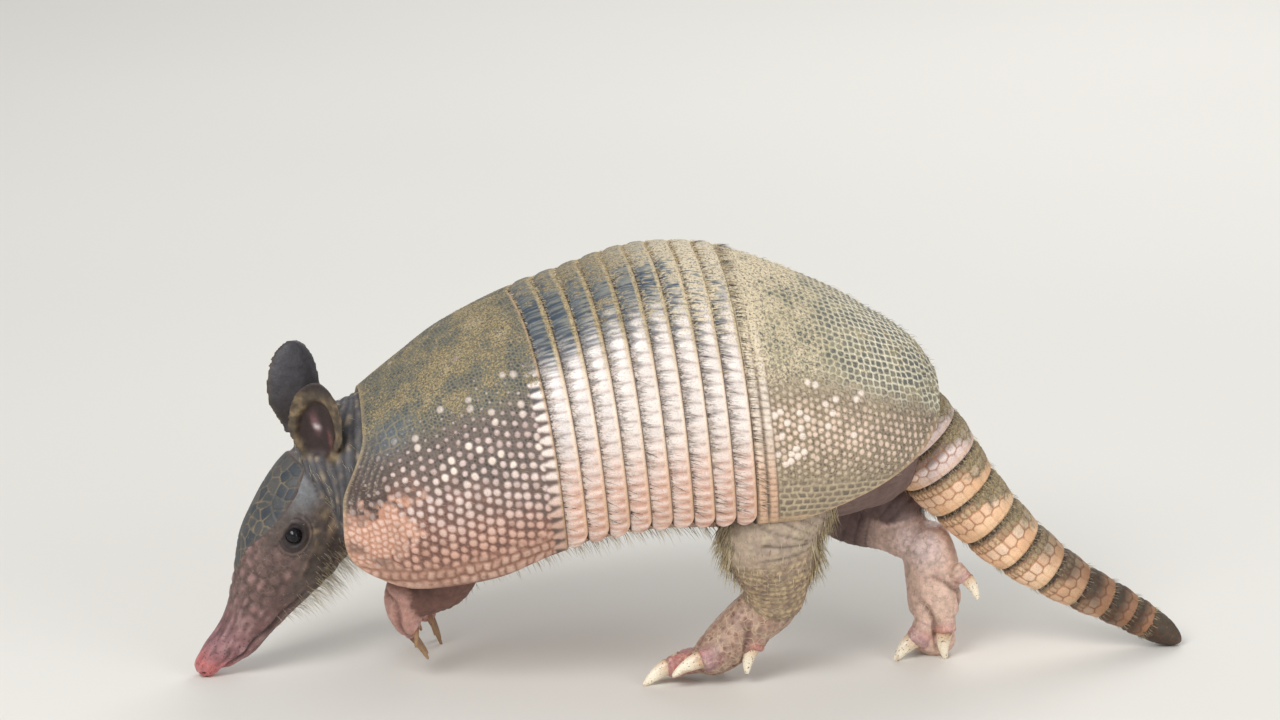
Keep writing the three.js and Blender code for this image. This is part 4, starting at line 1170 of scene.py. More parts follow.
def ear_frame(side):
    """An ear's root, the ways up and out of its hollow, and across it."""
    root, up, way = (np.array(v, float) for v in EARS[side])
    up = unit(up)
    way = unit(way - up * (way @ up))
    return head_point(*root), up, way, np.cross(up, way)


def ear_half_width(a):
    past = np.maximum(0, a - EAR["widest"]) / (1 - EAR["widest"])
    tip = np.maximum(EAR["end"], np.sqrt(np.clip(1 - past**2.4, 0, 1)))
    return EAR["width"] * lerp(0.5, 1, smooth(0, EAR["widest"], a)) * tip


def ear_points(side):
    """Closed loops round an ear's leaf, from its root to its tip."""
    root, up, way, wide = ear_frame(side)
    a = np.linspace(0, 1, 44)[:, None]
    loop = turns(60)
    across, face = np.cos(loop), np.sin(loop)
    half = ear_half_width(a)
    cup = EAR["cup"] * (across**2 - 0.5) * (half / EAR["width"])
    thick = lerp(2.4, 1.5, a) * np.sqrt(np.abs(face)) * np.sign(face) / 2
    return (root + up * (EAR["length"] * a - 1)[..., None] + wide * (half * across)[..., None]
            + way * (cup - thick)[..., None])


def skin_blank(parts):
    """The lofts grown into one closed surface, coarse where the shell hides it."""
    points, faces = [], []
    for rings in [part.points for part in parts] + [ear_points(side) for side in EARS]:
        faces += tube_faces(*rings.shape[:2], sum(len(p) for p in points))
        points.append(rings.reshape(-1, 3))
    mesh = bpy.data.meshes.new("lofts")
    mesh.from_pydata(((np.concatenate(points) + SHIFT) * MM).tolist(), [], faces)
    obj = bpy.data.objects.new("lofts", mesh)
    bpy.context.scene.collection.objects.link(obj)
    remesh = obj.modifiers.new("grow", "REMESH")
    remesh.mode = "VOXEL"
    remesh.voxel_size = SKIN_VOXEL * MM
    settle(obj)
    hidden = under_shell(read_points(obj.data))
    group = obj.vertex_groups.new(name="hidden")
    group.add(np.nonzero(hidden)[0].tolist(), 1.0, "REPLACE")
    thin = obj.modifiers.new("thin", "DECIMATE")
    thin.vertex_group = "hidden"
    thin.ratio = 1 - 0.93 * hidden.mean()
    settle(obj)
    return obj


def settle(obj):
    """Applies an object's modifiers."""
    made = bpy.data.meshes.new_from_object(obj.evaluated_get(bpy.context.evaluated_depsgraph_get()))
    obj.modifiers.clear()
    obj.data = made


def read_mesh(store, field, kind=np.float32, width=3):
    """One field of a mesh's points or edges, a row for each."""
    flat = np.empty(len(store) * width, kind)
    store.foreach_get(field, flat)
    return flat.reshape(-1, width)


def read_points(mesh):
    return read_mesh(mesh.vertices, "co").astype(float) / MM - SHIFT


def degrees_round(p):
    """The trunk's own angle of points: 0 at the ridge, negative on the right."""
    mid = along(TRUNK, "x", "mid", p[:, 0])
    tall = along(TRUNK, "x", "top", p[:, 0]) - mid
    return np.degrees(np.arctan2(-p[:, 1] / along(TRUNK, "x", "width", p[:, 0]), (p[:, 2] - mid) / tall))


def under_shell(p):
    """Which points the shell hides."""
    d = np.clip(degrees_round(p), -SHELL_ARC, SHELL_ARC)
    inside = (p[:, 0] > front_edge(d) + 14) & (p[:, 0] < rear_edge(d) - 14)
    return inside & (np.abs(d) < 96) & (np.abs(p[:, 1]) < along(TRUNK, "x", "width", p[:, 0]))


def relaxed(values, edges, rounds, share):
    """Values at a mesh's points, drawn towards their neighbours' mean."""
    count = np.maximum(np.bincount(edges.ravel(), minlength=len(values)), 1)[:, None]
    one, other = edges.T
    for _ in range(rounds):
        total = np.stack([np.bincount(one, column[other], len(values))
                          + np.bincount(other, column[one], len(values)) for column in values.T], -1)
        values = values + (total / count - values) * share
    return values


def refine(obj, near):
    """Halves the edges whose both ends are where near() says."""
    mesh = obj.data
    flags = near(read_points(mesh))
    bm = bmesh.new()
    bm.from_mesh(mesh)
    bm.verts.ensure_lookup_table()
    edges = [e for e in bm.edges if flags[e.verts[0].index] and flags[e.verts[1].index]]
    bmesh.ops.subdivide_edges(bm, edges=edges, cuts=1, use_grid_fill=True)
    bm.to_mesh(mesh)
    bm.free()


def where_on(parts, p):
    """For each point: its part's number, place along the part's axis, angle round it and radius there."""
    tree, owner = KDTree(sum(part.rows * part.around for part in parts)), []
    for number, part in enumerate(parts):
        for row in range(part.rows):
            for q in part.points[row]:
                tree.insert(q, len(owner))
                owner.append((number, row))
    tree.balance()
    owner = np.array(owner)[[tree.find(q)[1] for q in p]]
    centre, axis, across, fore, place = (np.zeros((len(p), 3)) for _ in range(5))
    for number, part in enumerate(parts):
        mine = owner[:, 0] == number
        for store, values in zip((centre, axis, across, fore), part.frame):
            store[mine] = values[owner[mine, 1]]
        place[mine, 0] = part.frame[4][owner[mine, 1]]
    d = p - centre
    s = place[:, 0] + np.sum(d * axis, -1)
    side, front = np.sum(d * across, -1), np.sum(d * fore, -1)
    return owner[:, 0], s, np.arctan2(side, front), np.hypot(side, front)


def eye_centre(side):
    t, aside, up = EYE_PLACE
    return head_point(t, side * aside, up)


def eye_way(side):
    """The way an eye looks: aside, a little up and forward."""
    return unit(RIGHT * side + 0.12 * UP - 0.1 * BACK)


class Skin:
    """The skin's points with their relief and colours, worked out part by part."""

    def __init__(self, parts, obj):
        self.parts, self.mesh = parts, obj.data
        self.edges = read_mesh(self.mesh.edges, "vertices", np.int32, 2)
        p = read_points(self.mesh)
        self.p = relaxed(p, self.edges, 8, (0.5 * (1 - 0.75 * self.on_ears(p)))[:, None])
        self.write_points()
        self.normals = read_mesh(self.mesh.vertex_normals, "vector").astype(float)
        number, self.s, self.angle, self.radius = where_on(parts, self.p)
        self.name = np.array([part.name for part in parts])[number]
        self.ear = self.on_ears(self.p)
        n = len(self.p)
        self.height = np.zeros(n)
        self.tint = np.tile(colour(188, 156, 132), (n, 1))
        self.scaly, self.fine, self.gloss = np.zeros(n), np.full(n, 0.3), np.full(n, 0.2)

    def write_points(self):
        self.mesh.vertices.foreach_set("co", ((self.p + SHIFT) * MM).astype(np.float32).ravel())
        self.mesh.update()

    def ear_share(self, p, side):
        """1 on an ear's leaf, falling to 0 at its root and away from it."""
        root, up, way, wide = ear_frame(side)
        d = p - root
        a = (d @ up + 1) / EAR["length"]
        half = ear_half_width(np.clip(a, 0, 1))
        cup = EAR["cup"] * ((d @ wide / half) ** 2 - 0.5) * half / EAR["width"]
        off = np.abs(d @ way - cup)
        return smooth(0.03, 0.15, a) * smooth(3.5, 2.0, off) * smooth(1.3, 1.1, np.abs(d @ wide) / half)

    def on_ears(self, p):
        """1 on either ear's leaf."""
        return np.max([self.ear_share(p, side) for side in EARS], 0)

    def tint_by(self, mask, *layers):
        """Lays colours over the skin in turn, where `mask` is true."""
        for tint, share in layers:
            tint = as_light(tint)
            self.tint[mask] = blend(self.tint[mask], tint[mask] if tint.ndim == 2 else tint, share[mask])

    def paint_limbs(self):
        """Furrows on the thighs, darkened with painted shade, little plates above the ankles, netted feet,
        pink toe tips, and a painted highlight at the right knee.
        """
        # The forelegs' dark colours are partly painted shade, for legs that lie in shadow under the shell's
        # front.
        fore = ((108, 86, 84), (116, 80, 70), (186, 134, 124))
        colours = {  # of the thigh, the shin and the foot
            "fl": fore,
            "fr": fore,
            "hl": ((174, 154, 136), (156, 132, 112), (130, 86, 74)),
            "hr": ((108, 86, 84), (236, 204, 192), (240, 200, 186)),
        }
        s, round_mm = self.s, self.angle * self.radius
        q = np.stack([s, round_mm], -1)
        wave = np.sin(s * 2 * math.pi / 4.2 + 1.3 * noise(q, 16, 61))
        furrow = smooth(-0.78, -1.0, wave) * smooth(-0.8, -0.2, noise(q, 12, 66))
        stroke = noise(np.stack([s / 5, round_mm / 0.9], -1), 1.0, 62)
        bead, own = plates(s, round_mm, 2.3, 2.5, 60, 0.9)
        fold = smooth(-0.5, -0.95, np.sin(s * 2 * math.pi / 3.1))
        toe_ends = blend((178, 136, 142), (200, 120, 114), noise(self.p, 6, 65) + 0.3)
        for foot, (thigh, shin, base) in colours.items():
            hind, sandy = foot[0] == "h", foot == "hl"
            leg = self.name == "leg_" + foot
            toes = np.char.startswith(self.name, "toe_" + foot)
            feet = toes | (self.name == "sole_" + foot) | (self.name == "pad_" + foot)
            start = s[leg].max() - (22 if foot == "hr" else 34)
            low = smooth(start, start + 12, s)
            self.height[leg] = (0.12 * stroke - 0.5 * furrow * (1 - low) + 0.35 * (bead - 0.5) * low)[leg]
            self.tint[leg] = blend(thigh, shin, low)[leg]
            self.tint_by(leg, ((196, 180, 150), smooth(-0.1, 0.7, stroke) * 0.45 * sandy),
                         # painted shade in the thigh's furrows
                         ((64, 52, 48), furrow * (1 - low) * 0.9),
                         ((226, 200, 152), bead * smooth(0.2, 0.7, own) * low * sandy * 0.9),
                         ((86, 68, 58), (1 - bead) * low * (0.5 if sandy else 0.25)))
            self.scaly[leg] = (0.7 * low * hind)[leg]

            near, _, border = Cells(spaced(self.p[feet], 3.2, 63)).at(self.p[feet])
            line, dark = smooth(0.9, 0.1, border), scrambled(near[:, None], 64)
            net = 0.6 if hind else 0.2
            self.height[feet] = 0.22 * line
            self.tint[feet] = layered(base, (colour(*base) * 0.66, dark * (0.3 + net * 0.6)),
                                      ((206, 180, 158), line * net))
            self.scaly[feet] = 1.4 * net
            self.gloss[feet] = 0.65
            self.part_toes(foot, feet)
            self.height[toes] -= (0.3 * fold)[toes]
            # painted shade in the creases across the toes; the tips are their own pink
            self.tint_by(toes, ((110, 68, 62), fold * 0.5), (toe_ends, smooth(2, 9, s) * 0.8))
        # a painted highlight on the right hind leg
        knee_highlight = smooth(15, 4, np.linalg.norm(self.p - KNEE, axis=-1)) * np.char.endswith(self.name, "_hr")
        self.tint = blend(self.tint, (244, 218, 214), knee_highlight * 0.9)

    def part_toes(self, foot, feet):
        """Sinks a furrow between neighbouring toes, well back on to the foot, and darkens it with painted
        shade.
        """
        p, far = self.p[feet], []
        for knuckle, root, _, _ in TOES[foot]:
            knuckle, root = np.array(knuckle, float), np.array(root, float)
            start = knuckle + (knuckle - root) * 1.1
            line = root - start
            t = np.clip((p - start) @ line / (line @ line), 0, 1)
            far.append(np.linalg.norm(p - start - t[:, None] * line, axis=-1))
        far = np.sort(far, 0)
        groove = smooth(1.7, 0.1, far[1] - far[0]) * smooth(11.0, 8.0, far[0])
        self.height[feet] -= 1.3 * groove
        # painted shade in the groove between the toes
        self.tint[feet] = blend(self.tint[feet], (98, 58, 54), groove * 0.75)

    def paint_trunk(self):
        """The neck's folds, darkened with painted shade, with paler ridges; and the belly's bare skin,
        darkened with painted shade towards the rear and in its folds.
        """
        neck, trunk = self.name == "neck", self.name == "trunk"
        fold = np.sin(self.s * 2 * math.pi / 3.2 + 4.2 * noise(self.p * [1, 0.6, 0.6], 9, 81))
        ridge = smooth(-0.9, 0.6, fold + 0.5 * noise(self.p, 3, 82))
        self.height[neck] = ((ridge - 0.5) * 0.55)[neck]
        self.tint[neck] = colour(92, 90, 92)
        # painted shade in the neck's folds
        self.tint_by(neck, ((56, 52, 54), (1 - ridge) * 0.75),
                     ((166, 148, 124), smooth(0.1, 0.8, noise(self.p, 2.6, 83)) * ridge * 0.8))
        fold = noise(self.p * [1, 0.3, 0.6], 3.4, 84)
        self.height[trunk] = (0.5 * fold)[trunk]
        # painted shade: the bare skin darkens towards the rear, under the shell's margin, and in its folds
        self.tint[trunk] = blend((184, 146, 126), (112, 90, 84), smooth(30, 90, self.p[trunk, 0]))
        self.tint_by(trunk, ((96, 72, 64), smooth(0, -0.6, fold) * 0.7))

    def paint_head(self):
        """The head's plates, wrinkles, cheek folds, mouth and nostrils, with painted light and shade in the
        wrinkles, painted shade in the folds, mouth and nostrils, and a painted highlight behind the eye.
        """
        head = self.name == "head"
        p = self.p[head]
        t, r, u = in_head(p)
        share = np.clip(np.abs(r) / along(HEAD, "t", "width", t), 0, 1)
        draw = np.random.default_rng(90)
        seeds = []
        for row, place in enumerate(np.arange(2, 100, 4.8)):
            count = max(5, int(2 * math.pi * along(HEAD, "t", "width", place) / 5.0))
            turn = (np.arange(count) + 0.5 * (row % 2) + draw.normal(0, 0.2, count)) / count * 2 * math.pi
            seeds.append(head_surface(place + draw.normal(0, 0.8, count), turn))
        near, _, border = Cells(np.concatenate(seeds)).at(warped(p, 4, 1.0, 96))
        own = scrambled(near[:, None], 91)
        plated = smooth(22, 34, t + 3 * noise(p, 6, 97)) * (1 - 0.9 * smooth(1, -9, u)) * lerp(
            1, 0.4, smooth(52, 66, t))
        line = smooth(0.5, 0.05, border)
        bridge = smooth(20, 32, t) * smooth(66, 48, t) * smooth(-9, -3, u)
        pale = smooth(-0.1, 0.5, noise(p, 7, 98)) * (1 - 0.7 * bridge)
        wrinkle = noise(np.stack([t / 5, u * 1.3, r * 1.3], -1), 1.5, 92)
        muzzle, tip = smooth(42, 28, t), smooth(9, -1, t)
        cheek = bump_at(t, 62, 26) * smooth(0, -10, u)
        folds = np.sin((t * 0.9 + u * 0.5) * 2 * math.pi / 6.5 + 1.4 * noise(p, 10, 93))
        streak = noise(np.stack([t / 7, u * 1.1 - t * 0.25, r], -1), 2.2, 89)
        strip = smooth(46, 60, t) * smooth(4, -4, u)
        yellow = bump_at(t, 73, 15) * bump_at(u, -3.5, 8) * smooth(0.0, 0.5, noise(p, 2.0, 94))
        mouth_back, mouth_front = 47, 3.5
        mouth = lerp(-8.6, -15, (t - mouth_front) / (mouth_back - mouth_front)) + 0.5 * np.sin(t * 0.4)
        slit = smooth(0.85, 0.2, np.abs(u - mouth)) * smooth(mouth_back + 2, mouth_back - 4, t)
        slit *= smooth(0.5, 2.5, t)
        lip = bump_at(u - mouth, -1.8, 1.6) * bump_at(t, 5, 6)
        blotch = bump_at(u - mouth, 0.5, 4.5) * smooth(0.0, 0.5, noise(p, 3.2, 99))
        blotch = blotch * smooth(4, 12, t) * muzzle

        height = (0.3 - line) * 0.25 * plated
        height += 0.34 * wrinkle * muzzle
        height += 0.4 * folds * cheek
        height -= 0.9 * bump_at(t, 54, 9) * bump_at(u, 1, 7) * smooth(0.5, 0.9, share)
        height += 0.7 * bump_at(t, 64, 10) * bump_at(u, 10.2, 4.2) * smooth(0.4, 0.8, share)
        height += 0.3 * smooth(0.1, 1.4, border) * bridge
        height += 0.35 * streak * strip
        height += 0.5 * bump_at(np.abs(u - mouth), 1.5, 1.2) * smooth(46, 40, t) - 1.1 * slit + 0.5 * lip
        tint = blend((82, 70, 64), (116, 84, 82), smooth(56, 22, t))
        tint = blend(tint, (148, 104, 108), smooth(26, 8, t))
        tint = layered(
            tint,
            (tint * 0.62, smooth(0.3, 0.9, own) * plated * 0.5),
            ((152, 118, 113), (1.0 - 0.8 * own) * bridge),
            ((58, 39, 38), smooth(1.5, 0.3, border) * bridge * 0.9),
            ((182, 152, 140), line * plated * (0.15 + 0.6 * pale)),
            # painted light on the wrinkles' crests and painted shade in their troughs
            ((178, 144, 140), smooth(0.1, 0.7, wrinkle) * 0.5 * muzzle),
            ((70, 50, 48), smooth(0.05, 0.7, -wrinkle) * 0.6 * muzzle),
            # painted shade in the cheek folds
            ((64, 50, 46), smooth(-0.1, -0.9, folds) * cheek * 0.7),
            # a pale blue-grey patch behind the eye: partly its own colour, partly a painted highlight
            ((118, 122, 126), bump_at(t, 82, 14) * smooth(0, 8, u) * 0.75),
            # tan streaks, their own colour, with painted shade in the troughs between them
            ((142, 118, 100), smooth(0.05, 0.6, streak) * strip * 0.75),
            ((54, 42, 38), smooth(-0.1, -0.7, streak) * strip * 0.7),
            ((170, 146, 106), yellow * 0.6),
            ((200, 112, 108), tip * (0.7 + 0.35 * noise(p, 2, 95))),
            ((62, 38, 36), blotch * 0.75),
            ((180, 110, 106), lip * 0.7),
            # painted shade in the mouth's slit
            ((38, 24, 24), slit * 0.95))
        for nostril in (-1, 1):
            far = np.sqrt(((t + 2.2) / 1.3) ** 2 + ((r - nostril * 3.0) / 1.3) ** 2 + ((u + 2.6) / 1.0) ** 2)
            pit = smooth(1.0, 0.5, far)
            height += 0.4 * bump_at(far, 1.35, 0.5) - 1.3 * pit
            # painted shade in the nostrils
            tint = blend(tint, (34, 20, 20), pit)
        self.height[head] = height
        self.tint[head] = tint
        self.scaly[head] = 0.12 * plated + 0.08 * smooth(-6, -16, u)
        self.fine[head] = 0.35 + 0.6 * smooth(34, 12, t)
        self.gloss[head] = 0.45 + 0.4 * tip

    def paint_ears(self):
        """Ears with a thick brown rolled rim, a hollow darkened with painted shade round a pink ridge, with a
        painted highlight, and a smooth dark back.
        """
        for side in EARS:
            root, up, way, wide = ear_frame(side)
            share = self.ear_share(self.p, side)
            inner = share * smooth(0.0, 0.4, self.normals @ way)
            d = self.p - root
            a, across = (d @ up + 1) / EAR["length"], d @ wide
            out = np.abs(across) / ear_half_width(np.clip(a, 0, 1))
            oval = np.hypot((across + 0.5) / (0.66 * EAR["width"]), (a - 0.4) / 0.34)
            rim = smooth(0.86, 1.08, oval + 0.08 * noise(self.p, 4, 104))
            beads = smooth(0.2, 0.6, np.sin(a * EAR["length"] * 2 * math.pi / 1.7)) * smooth(0.86, 0.98, out)
            lean = across + 9 * (a - 0.4)
            ridge = bump_at(lean, -1.2, 2.4) * bump_at(a, 0.46, 0.2)
            fold = bump_at(lean, 3.6, 1.5) * bump_at(a, 0.3, 0.2)
            back = layered(
                blend((44, 34, 32), (58, 55, 60), smooth(0.1, 0.7, a + 0.15 * noise(self.p, 6, 101))),
                ((106, 94, 74), smooth(0.84, 0.98, out) * 0.4),
                ((26, 22, 22), beads * 0.8))
            inside = layered(
                # painted shade darkens the hollow, round its pink ridge
                blend((50, 34, 32), (128, 90, 94), ridge),
                ((132, 84, 80), fold * 0.7),
                # a painted highlight in the hollow
                ((240, 226, 228), bump_at(lean, -1.0, 1.9) * bump_at(a, 0.42, 0.055)))
            brown = layered(
                blend((78, 66, 52), (136, 116, 88), smooth(-0.3, 0.7, noise(self.p, 1.8, 105))),
                ((58, 48, 46), smooth(0.75, 0.95, a)))
            self.tint = layered(self.tint, (back, share), (blend(inside, brown, rim), inner))
            self.height = lerp(self.height, 0.12 * noise(self.p, 1.6, 103), share)
            rolled = 0.6 * bump_at(oval, 1.15, 0.3) + 0.6 * ridge + 0.4 * fold
            self.height += inner * (rolled - 0.9 * (1 - rim))
            self.scaly = lerp(self.scaly, 0.0, share)
            self.fine, self.gloss = lerp(self.fine, 0.45, share), lerp(self.gloss, 0.45, share)

    def open_eyes(self):
        """Sinks the skin behind each eyeball, and rolls it up into two dark, wrinkled lids; painted shade
        darkens the sunken skin and the creases round the lids.
        """
        for side in (-1, 1):
            out = eye_way(side)
            length = unit(BACK * 0.96 + UP * 0.28)
            length = unit(length - out * (length @ out))
            tall = np.cross(out, length)
            d = self.p - eye_centre(side)
            x, y, z = d @ length, d @ tall, d @ out
            near = (z > 0) & (np.hypot(x, y) < 12)
            hole = smooth(1.06, 0.9, np.hypot(x / 3.9, y / 3.1)) * near
            ring = np.hypot(x / 4.3, y / 3.5)
            lid = bump_at(ring, 1.22, 0.3) * near
            crease = bump_at(ring, 1.62, 0.16) * near + 0.7 * bump_at(ring, 2.05, 0.14) * near
            around = smooth(2.3, 1.2, ring) * near
            self.p = self.p - out * (hole * np.maximum(z - 1.2, 0))[:, None]
            lift = 0.55 * lid - 0.35 * crease
            self.height = self.height * (1 - smooth(2.0, 1.3, ring) * near) + lift * (1 - hole)
            self.tint = layered(
                self.tint,
                ((62, 48, 46), around * 0.65),
                # dark lids, their own colour, with painted shade in the creases round them
                ((38, 28, 28), np.maximum(crease, bump_at(ring, 1.15, 0.5) * near)),
                ((118, 98, 88), bump_at(ring, 1.75, 0.12) * near * 0.3),
                # painted shade: the sunken skin round and behind the eyeball is near black
                ((22, 14, 14), hole))
            self.scaly = self.scaly * (1 - around)

    def finish(self, obj):
        """Softens the borders between parts, writes points, colours and masks, and measures `spacing`,
        about how much skin each point stands for."""
        raised = relaxed(self.height[:, None], self.edges, 1, 0.4)
        self.p = self.p + self.normals * raised
        self.p[:, 2] = np.maximum(self.p[:, 2], 0)
        self.write_points()
        ends = self.edges.ravel()
        lengths = np.linalg.norm(np.diff(self.p[self.edges], axis=1)[:, 0], axis=-1)
        total = np.bincount(ends, np.repeat(lengths, 2), len(self.p))
        self.spacing = (total / np.maximum(np.bincount(ends, minlength=len(self.p)), 1)) ** 2
        tint = relaxed(self.tint, self.edges, 2, 0.4)
        masks = np.stack([self.scaly, self.fine, self.gloss], -1)
        scaly, fine, gloss = relaxed(masks, self.edges, 4, 0.5).T
        self.mesh.shade_smooth()
        write_attributes(self.mesh, {"tint": tint, "scaly": scaly, "fine": fine, "gloss": gloss})
        nodes = ["trunk", "neck", "head", "lower_jaw", "ear_left", "ear_right"]
        nodes += [kind + leg for leg in LEGS for kind in ("leg_", "foot_")]
        obj.name = "skin"
        return register(obj, nodes, "skin", SKIN)


def skin():
    parts = list(flesh())
    obj = skin_blank(parts)

    def detailed(p):
        near_eye = np.min([np.linalg.norm(p - eye_centre(side), axis=-1) for side in (-1, 1)], 0) < 9.5
        t, _, u = in_head(p)
        return near_eye | ((t > -6) & (t < 16) & (np.abs(u + 6) < 16) & (p[:, 2] < 40))

    refine(obj, detailed)
    made = Skin(parts, obj)
    made.paint_limbs()
    made.paint_trunk()
    made.paint_head()
    made.paint_ears()
    made.open_eyes()
    made.finish(obj)
    return made


# ---------------------------------------------------------------- head shield, eyes and claws
def head_shield():
    """Bony plates from the snout to between the ears, in one shield that sinks into the skin at its edge."""
    rows, around = 110, 120
    front, rear = 38.5, 91  # behind the nose tip
    length, radius = 52, 17  # near enough, for the distance to the shield's edge
    a = np.linspace(0, 1, rows)[:, None]
    b = np.linspace(-1, 1, around)[None, :]
    t = lerp(front, rear, a) + 0 * b
    spread = lerp(12, 46, smooth(0, 0.55, a)) * np.sqrt(1 - 0.35 * smooth(0.75, 1, a))
    angle = np.radians(spread * b)
    draw = np.random.default_rng(110)
    seeds = []
    for row, place in enumerate(np.arange(36, 96, 4.6)):
        turn = np.radians((np.arange(-6, 7) + 0.5 * (row % 2)) * 15.5 + draw.normal(0, 3.2, 13))
        seeds.append(head_surface(place + draw.normal(0, 0.9, 13), turn))
    base = head_surface(t, angle)
    near, _, border = Cells(np.concatenate(seeds)).at(warped(base, 3, 0.7, 113))
    own = scrambled(near[..., None], 111)
    plate = smooth(0.0, 0.38, border)
    edge = np.minimum(np.minimum(a, 1 - a) * length, (1 - np.abs(b)) * np.radians(spread) * radius)
    height = lerp(-1.0, 0.32, smooth(0, 2.2, edge)) + 0.42 * plate * smooth(0.2, 1.6, edge)
    outer = head_surface(t, angle, height)
    inner = head_surface(t[::-1], angle[::-1], -1.4)[:: rows - 1]
    points = np.concatenate([outer, inner]).reshape(-1, 3)
    small = rough_noise(base, 5, 112)
    tint = layered(
        blend((50, 58, 66), (90, 86, 80), own * 0.8 + 0.4 * small),
        ((150, 132, 104), (1 - plate) * lerp(0.25, 0.75, smooth(-0.3, 0.4, noise(base, 9, 114)))),
        ((104, 88, 80), smooth(3.0, 0.5, edge) * 0.8))
    tint = np.concatenate([tint, np.broadcast_to(colour(98, 80, 68), inner.shape)]).reshape(-1, 3)
    gloss = np.concatenate([plate * 0.6, np.zeros(inner.shape[:2])]).ravel()
    faces = facing_out(points, slab_faces(rows + len(inner), around))
    piece("head_plates", points, faces, ["head_shield"], "head_shield", SHIELD_HORN, tint=tint, gloss=gloss)


def eyes():
    """Dark wet eyes: a round pupil, a brown iris and a bulging cornea."""
    rows, around = 40, 56
    polar, turn = np.linspace(0, math.pi, rows)[:, None], turns(around)[None, :]
    for name, side in (("left", -1), ("right", 1)):
        out = eye_way(side)
        first = unit(np.cross(out, UP))
        second = np.cross(out, first)
        r = EYE_RADIUS * 0.97 + 0.22 * smooth(0.75, 0.2, polar) + 0 * turn
        way = (out * np.cos(polar)[..., None] + first * (np.sin(polar) * np.cos(turn))[..., None]
               + second * (np.sin(polar) * np.sin(turn))[..., None])
        points = (eye_centre(side) + way * r[..., None]).reshape(-1, 3)
        faces = facing_out(points, grid_faces(rows, around, close_columns=True).tolist())
        iris = bump_at(polar, 0.6, 0.2) * (0.8 + 0.2 * np.sin(turn * 23))
        tint = layered(blend((16, 18, 24), (44, 34, 32), iris * 0.7),
                       ((64, 50, 46), smooth(1.1, 1.5, polar) + 0 * turn))
        piece("eyeball_" + name, points, faces, ["eye_" + name], "eye", EYE, tint=tint.reshape(-1, 3))


def claw(foot, number, root, tip, radius):
    """A curved claw: ridged on top, hollowed under, with a worn tip."""
    root, tip = np.array(root, float), np.array(tip, float)
    around, rows = 26, 30
    u, angle = np.linspace(0, 1, rows)[:, None], turns(around)[None, :]
    line = lerp(root - 0.12 * (tip - root), tip, u)
    across, fore = across_and_up(unit(tip - root))
    if fore[2] < 0:
        fore, across = -fore, -across
    bow = 0.2 * radius * np.sin(u * math.pi)
    thick = (radius * 0.7 * (1 - u) ** 0.62 * (1 - 0.1 * u) + 0.45) * lerp(0.6, 1, smooth(0, 0.16, u))
    end = np.sqrt(np.clip(1 - smooth(0.93, 1.0, u) ** 2, 0.02, 1))
    keel = 1 + 0.1 * np.maximum(np.cos(angle), 0) ** 6 - 0.14 * np.maximum(-np.cos(angle), 0) ** 2
    grain = 1 + 0.02 * np.sin(angle * 9) * (1 - u)
    wide = thick * end * keel * grain
    points = (line[:, None, :] + fore * (bow + wide * np.cos(angle))[..., None]
              + across * (wide * 0.84 * np.sin(angle))[..., None])
    points[..., 2] = np.maximum(points[..., 2], 0)
    base, point = ((216, 184, 152), (246, 234, 210)) if foot[0] == "h" else ((128, 82, 62), (158, 124, 90))
    tint = layered(
        blend(base, point, smooth(0.1, 0.6, u) + 0 * angle),
        ((178, 142, 108), smooth(0.3, 0.8, noise(points, 2.5, 120)) * 0.5),
        ((120, 70, 56), smooth(0.2, 0.1, u) * 0.7 + 0 * angle))
    flat = points.reshape(-1, 3)
    piece(f"horn_{foot}_{number}", flat, facing_out(flat, tube_faces(rows, around)),
          [f"claw_{foot}_{number}"], "claw", CLAW, tint=tint.reshape(-1, 3))


def claws():
    for foot, toes in TOES.items():
        for i, (_, root, tip, radius) in enumerate(toes):
            claw(foot, i + 1, root, tip, radius * (0.36 if foot[0] == "f" else 1))


# ---------------------------------------------------------------- hair
def mixed(draw, count, *shades):
    """A colour for each hair, drawn from the shades."""
    pick = np.array(shades)[draw.integers(0, len(shades), count)]
    return pick * draw.uniform(0.8, 1.15, (count, 1))


def shell_hairs(name, x, degrees, rise, lift, length, seed, shades, thick=0.085):
    """Hairs on the shell, lying back along it: `rise` mm above its surface at the root, lifted by `lift`."""
    draw = np.random.default_rng(seed)
    base = trunk_point(x, degrees)
    normal = unit(base - trunk_point(x, degrees, 5.0))
    roots = base + normal * rise
    count = len(x)
    loose = draw.normal(0, 0.16, (count, 3))
    up = normal * np.reshape(lift, (-1, 1))
    way = np.array([1.0, 0, -0.1]) + up + loose
    bend = -up * 0.7 + [0, 0, -0.1]
    place = np.stack([(x + HAIR_MAP / 2) / HAIR_MAP, (degrees + SHELL_ARC) / 2 / SHELL_ARC], -1)
    hairs(name, roots, way, length, bend, mixed(draw, count, *shades), place, thick)


def at_band_edges(draw_degrees, offset):
    """Places `offset` mm behind the rear edges of the front shield and the bands, and their degrees."""
    degrees = [draw_degrees() for _ in range(BANDS + 1)]
    x = [band_edge(i, d) + offset for i, d in enumerate(degrees)]
    return np.concatenate(x), np.concatenate(degrees)


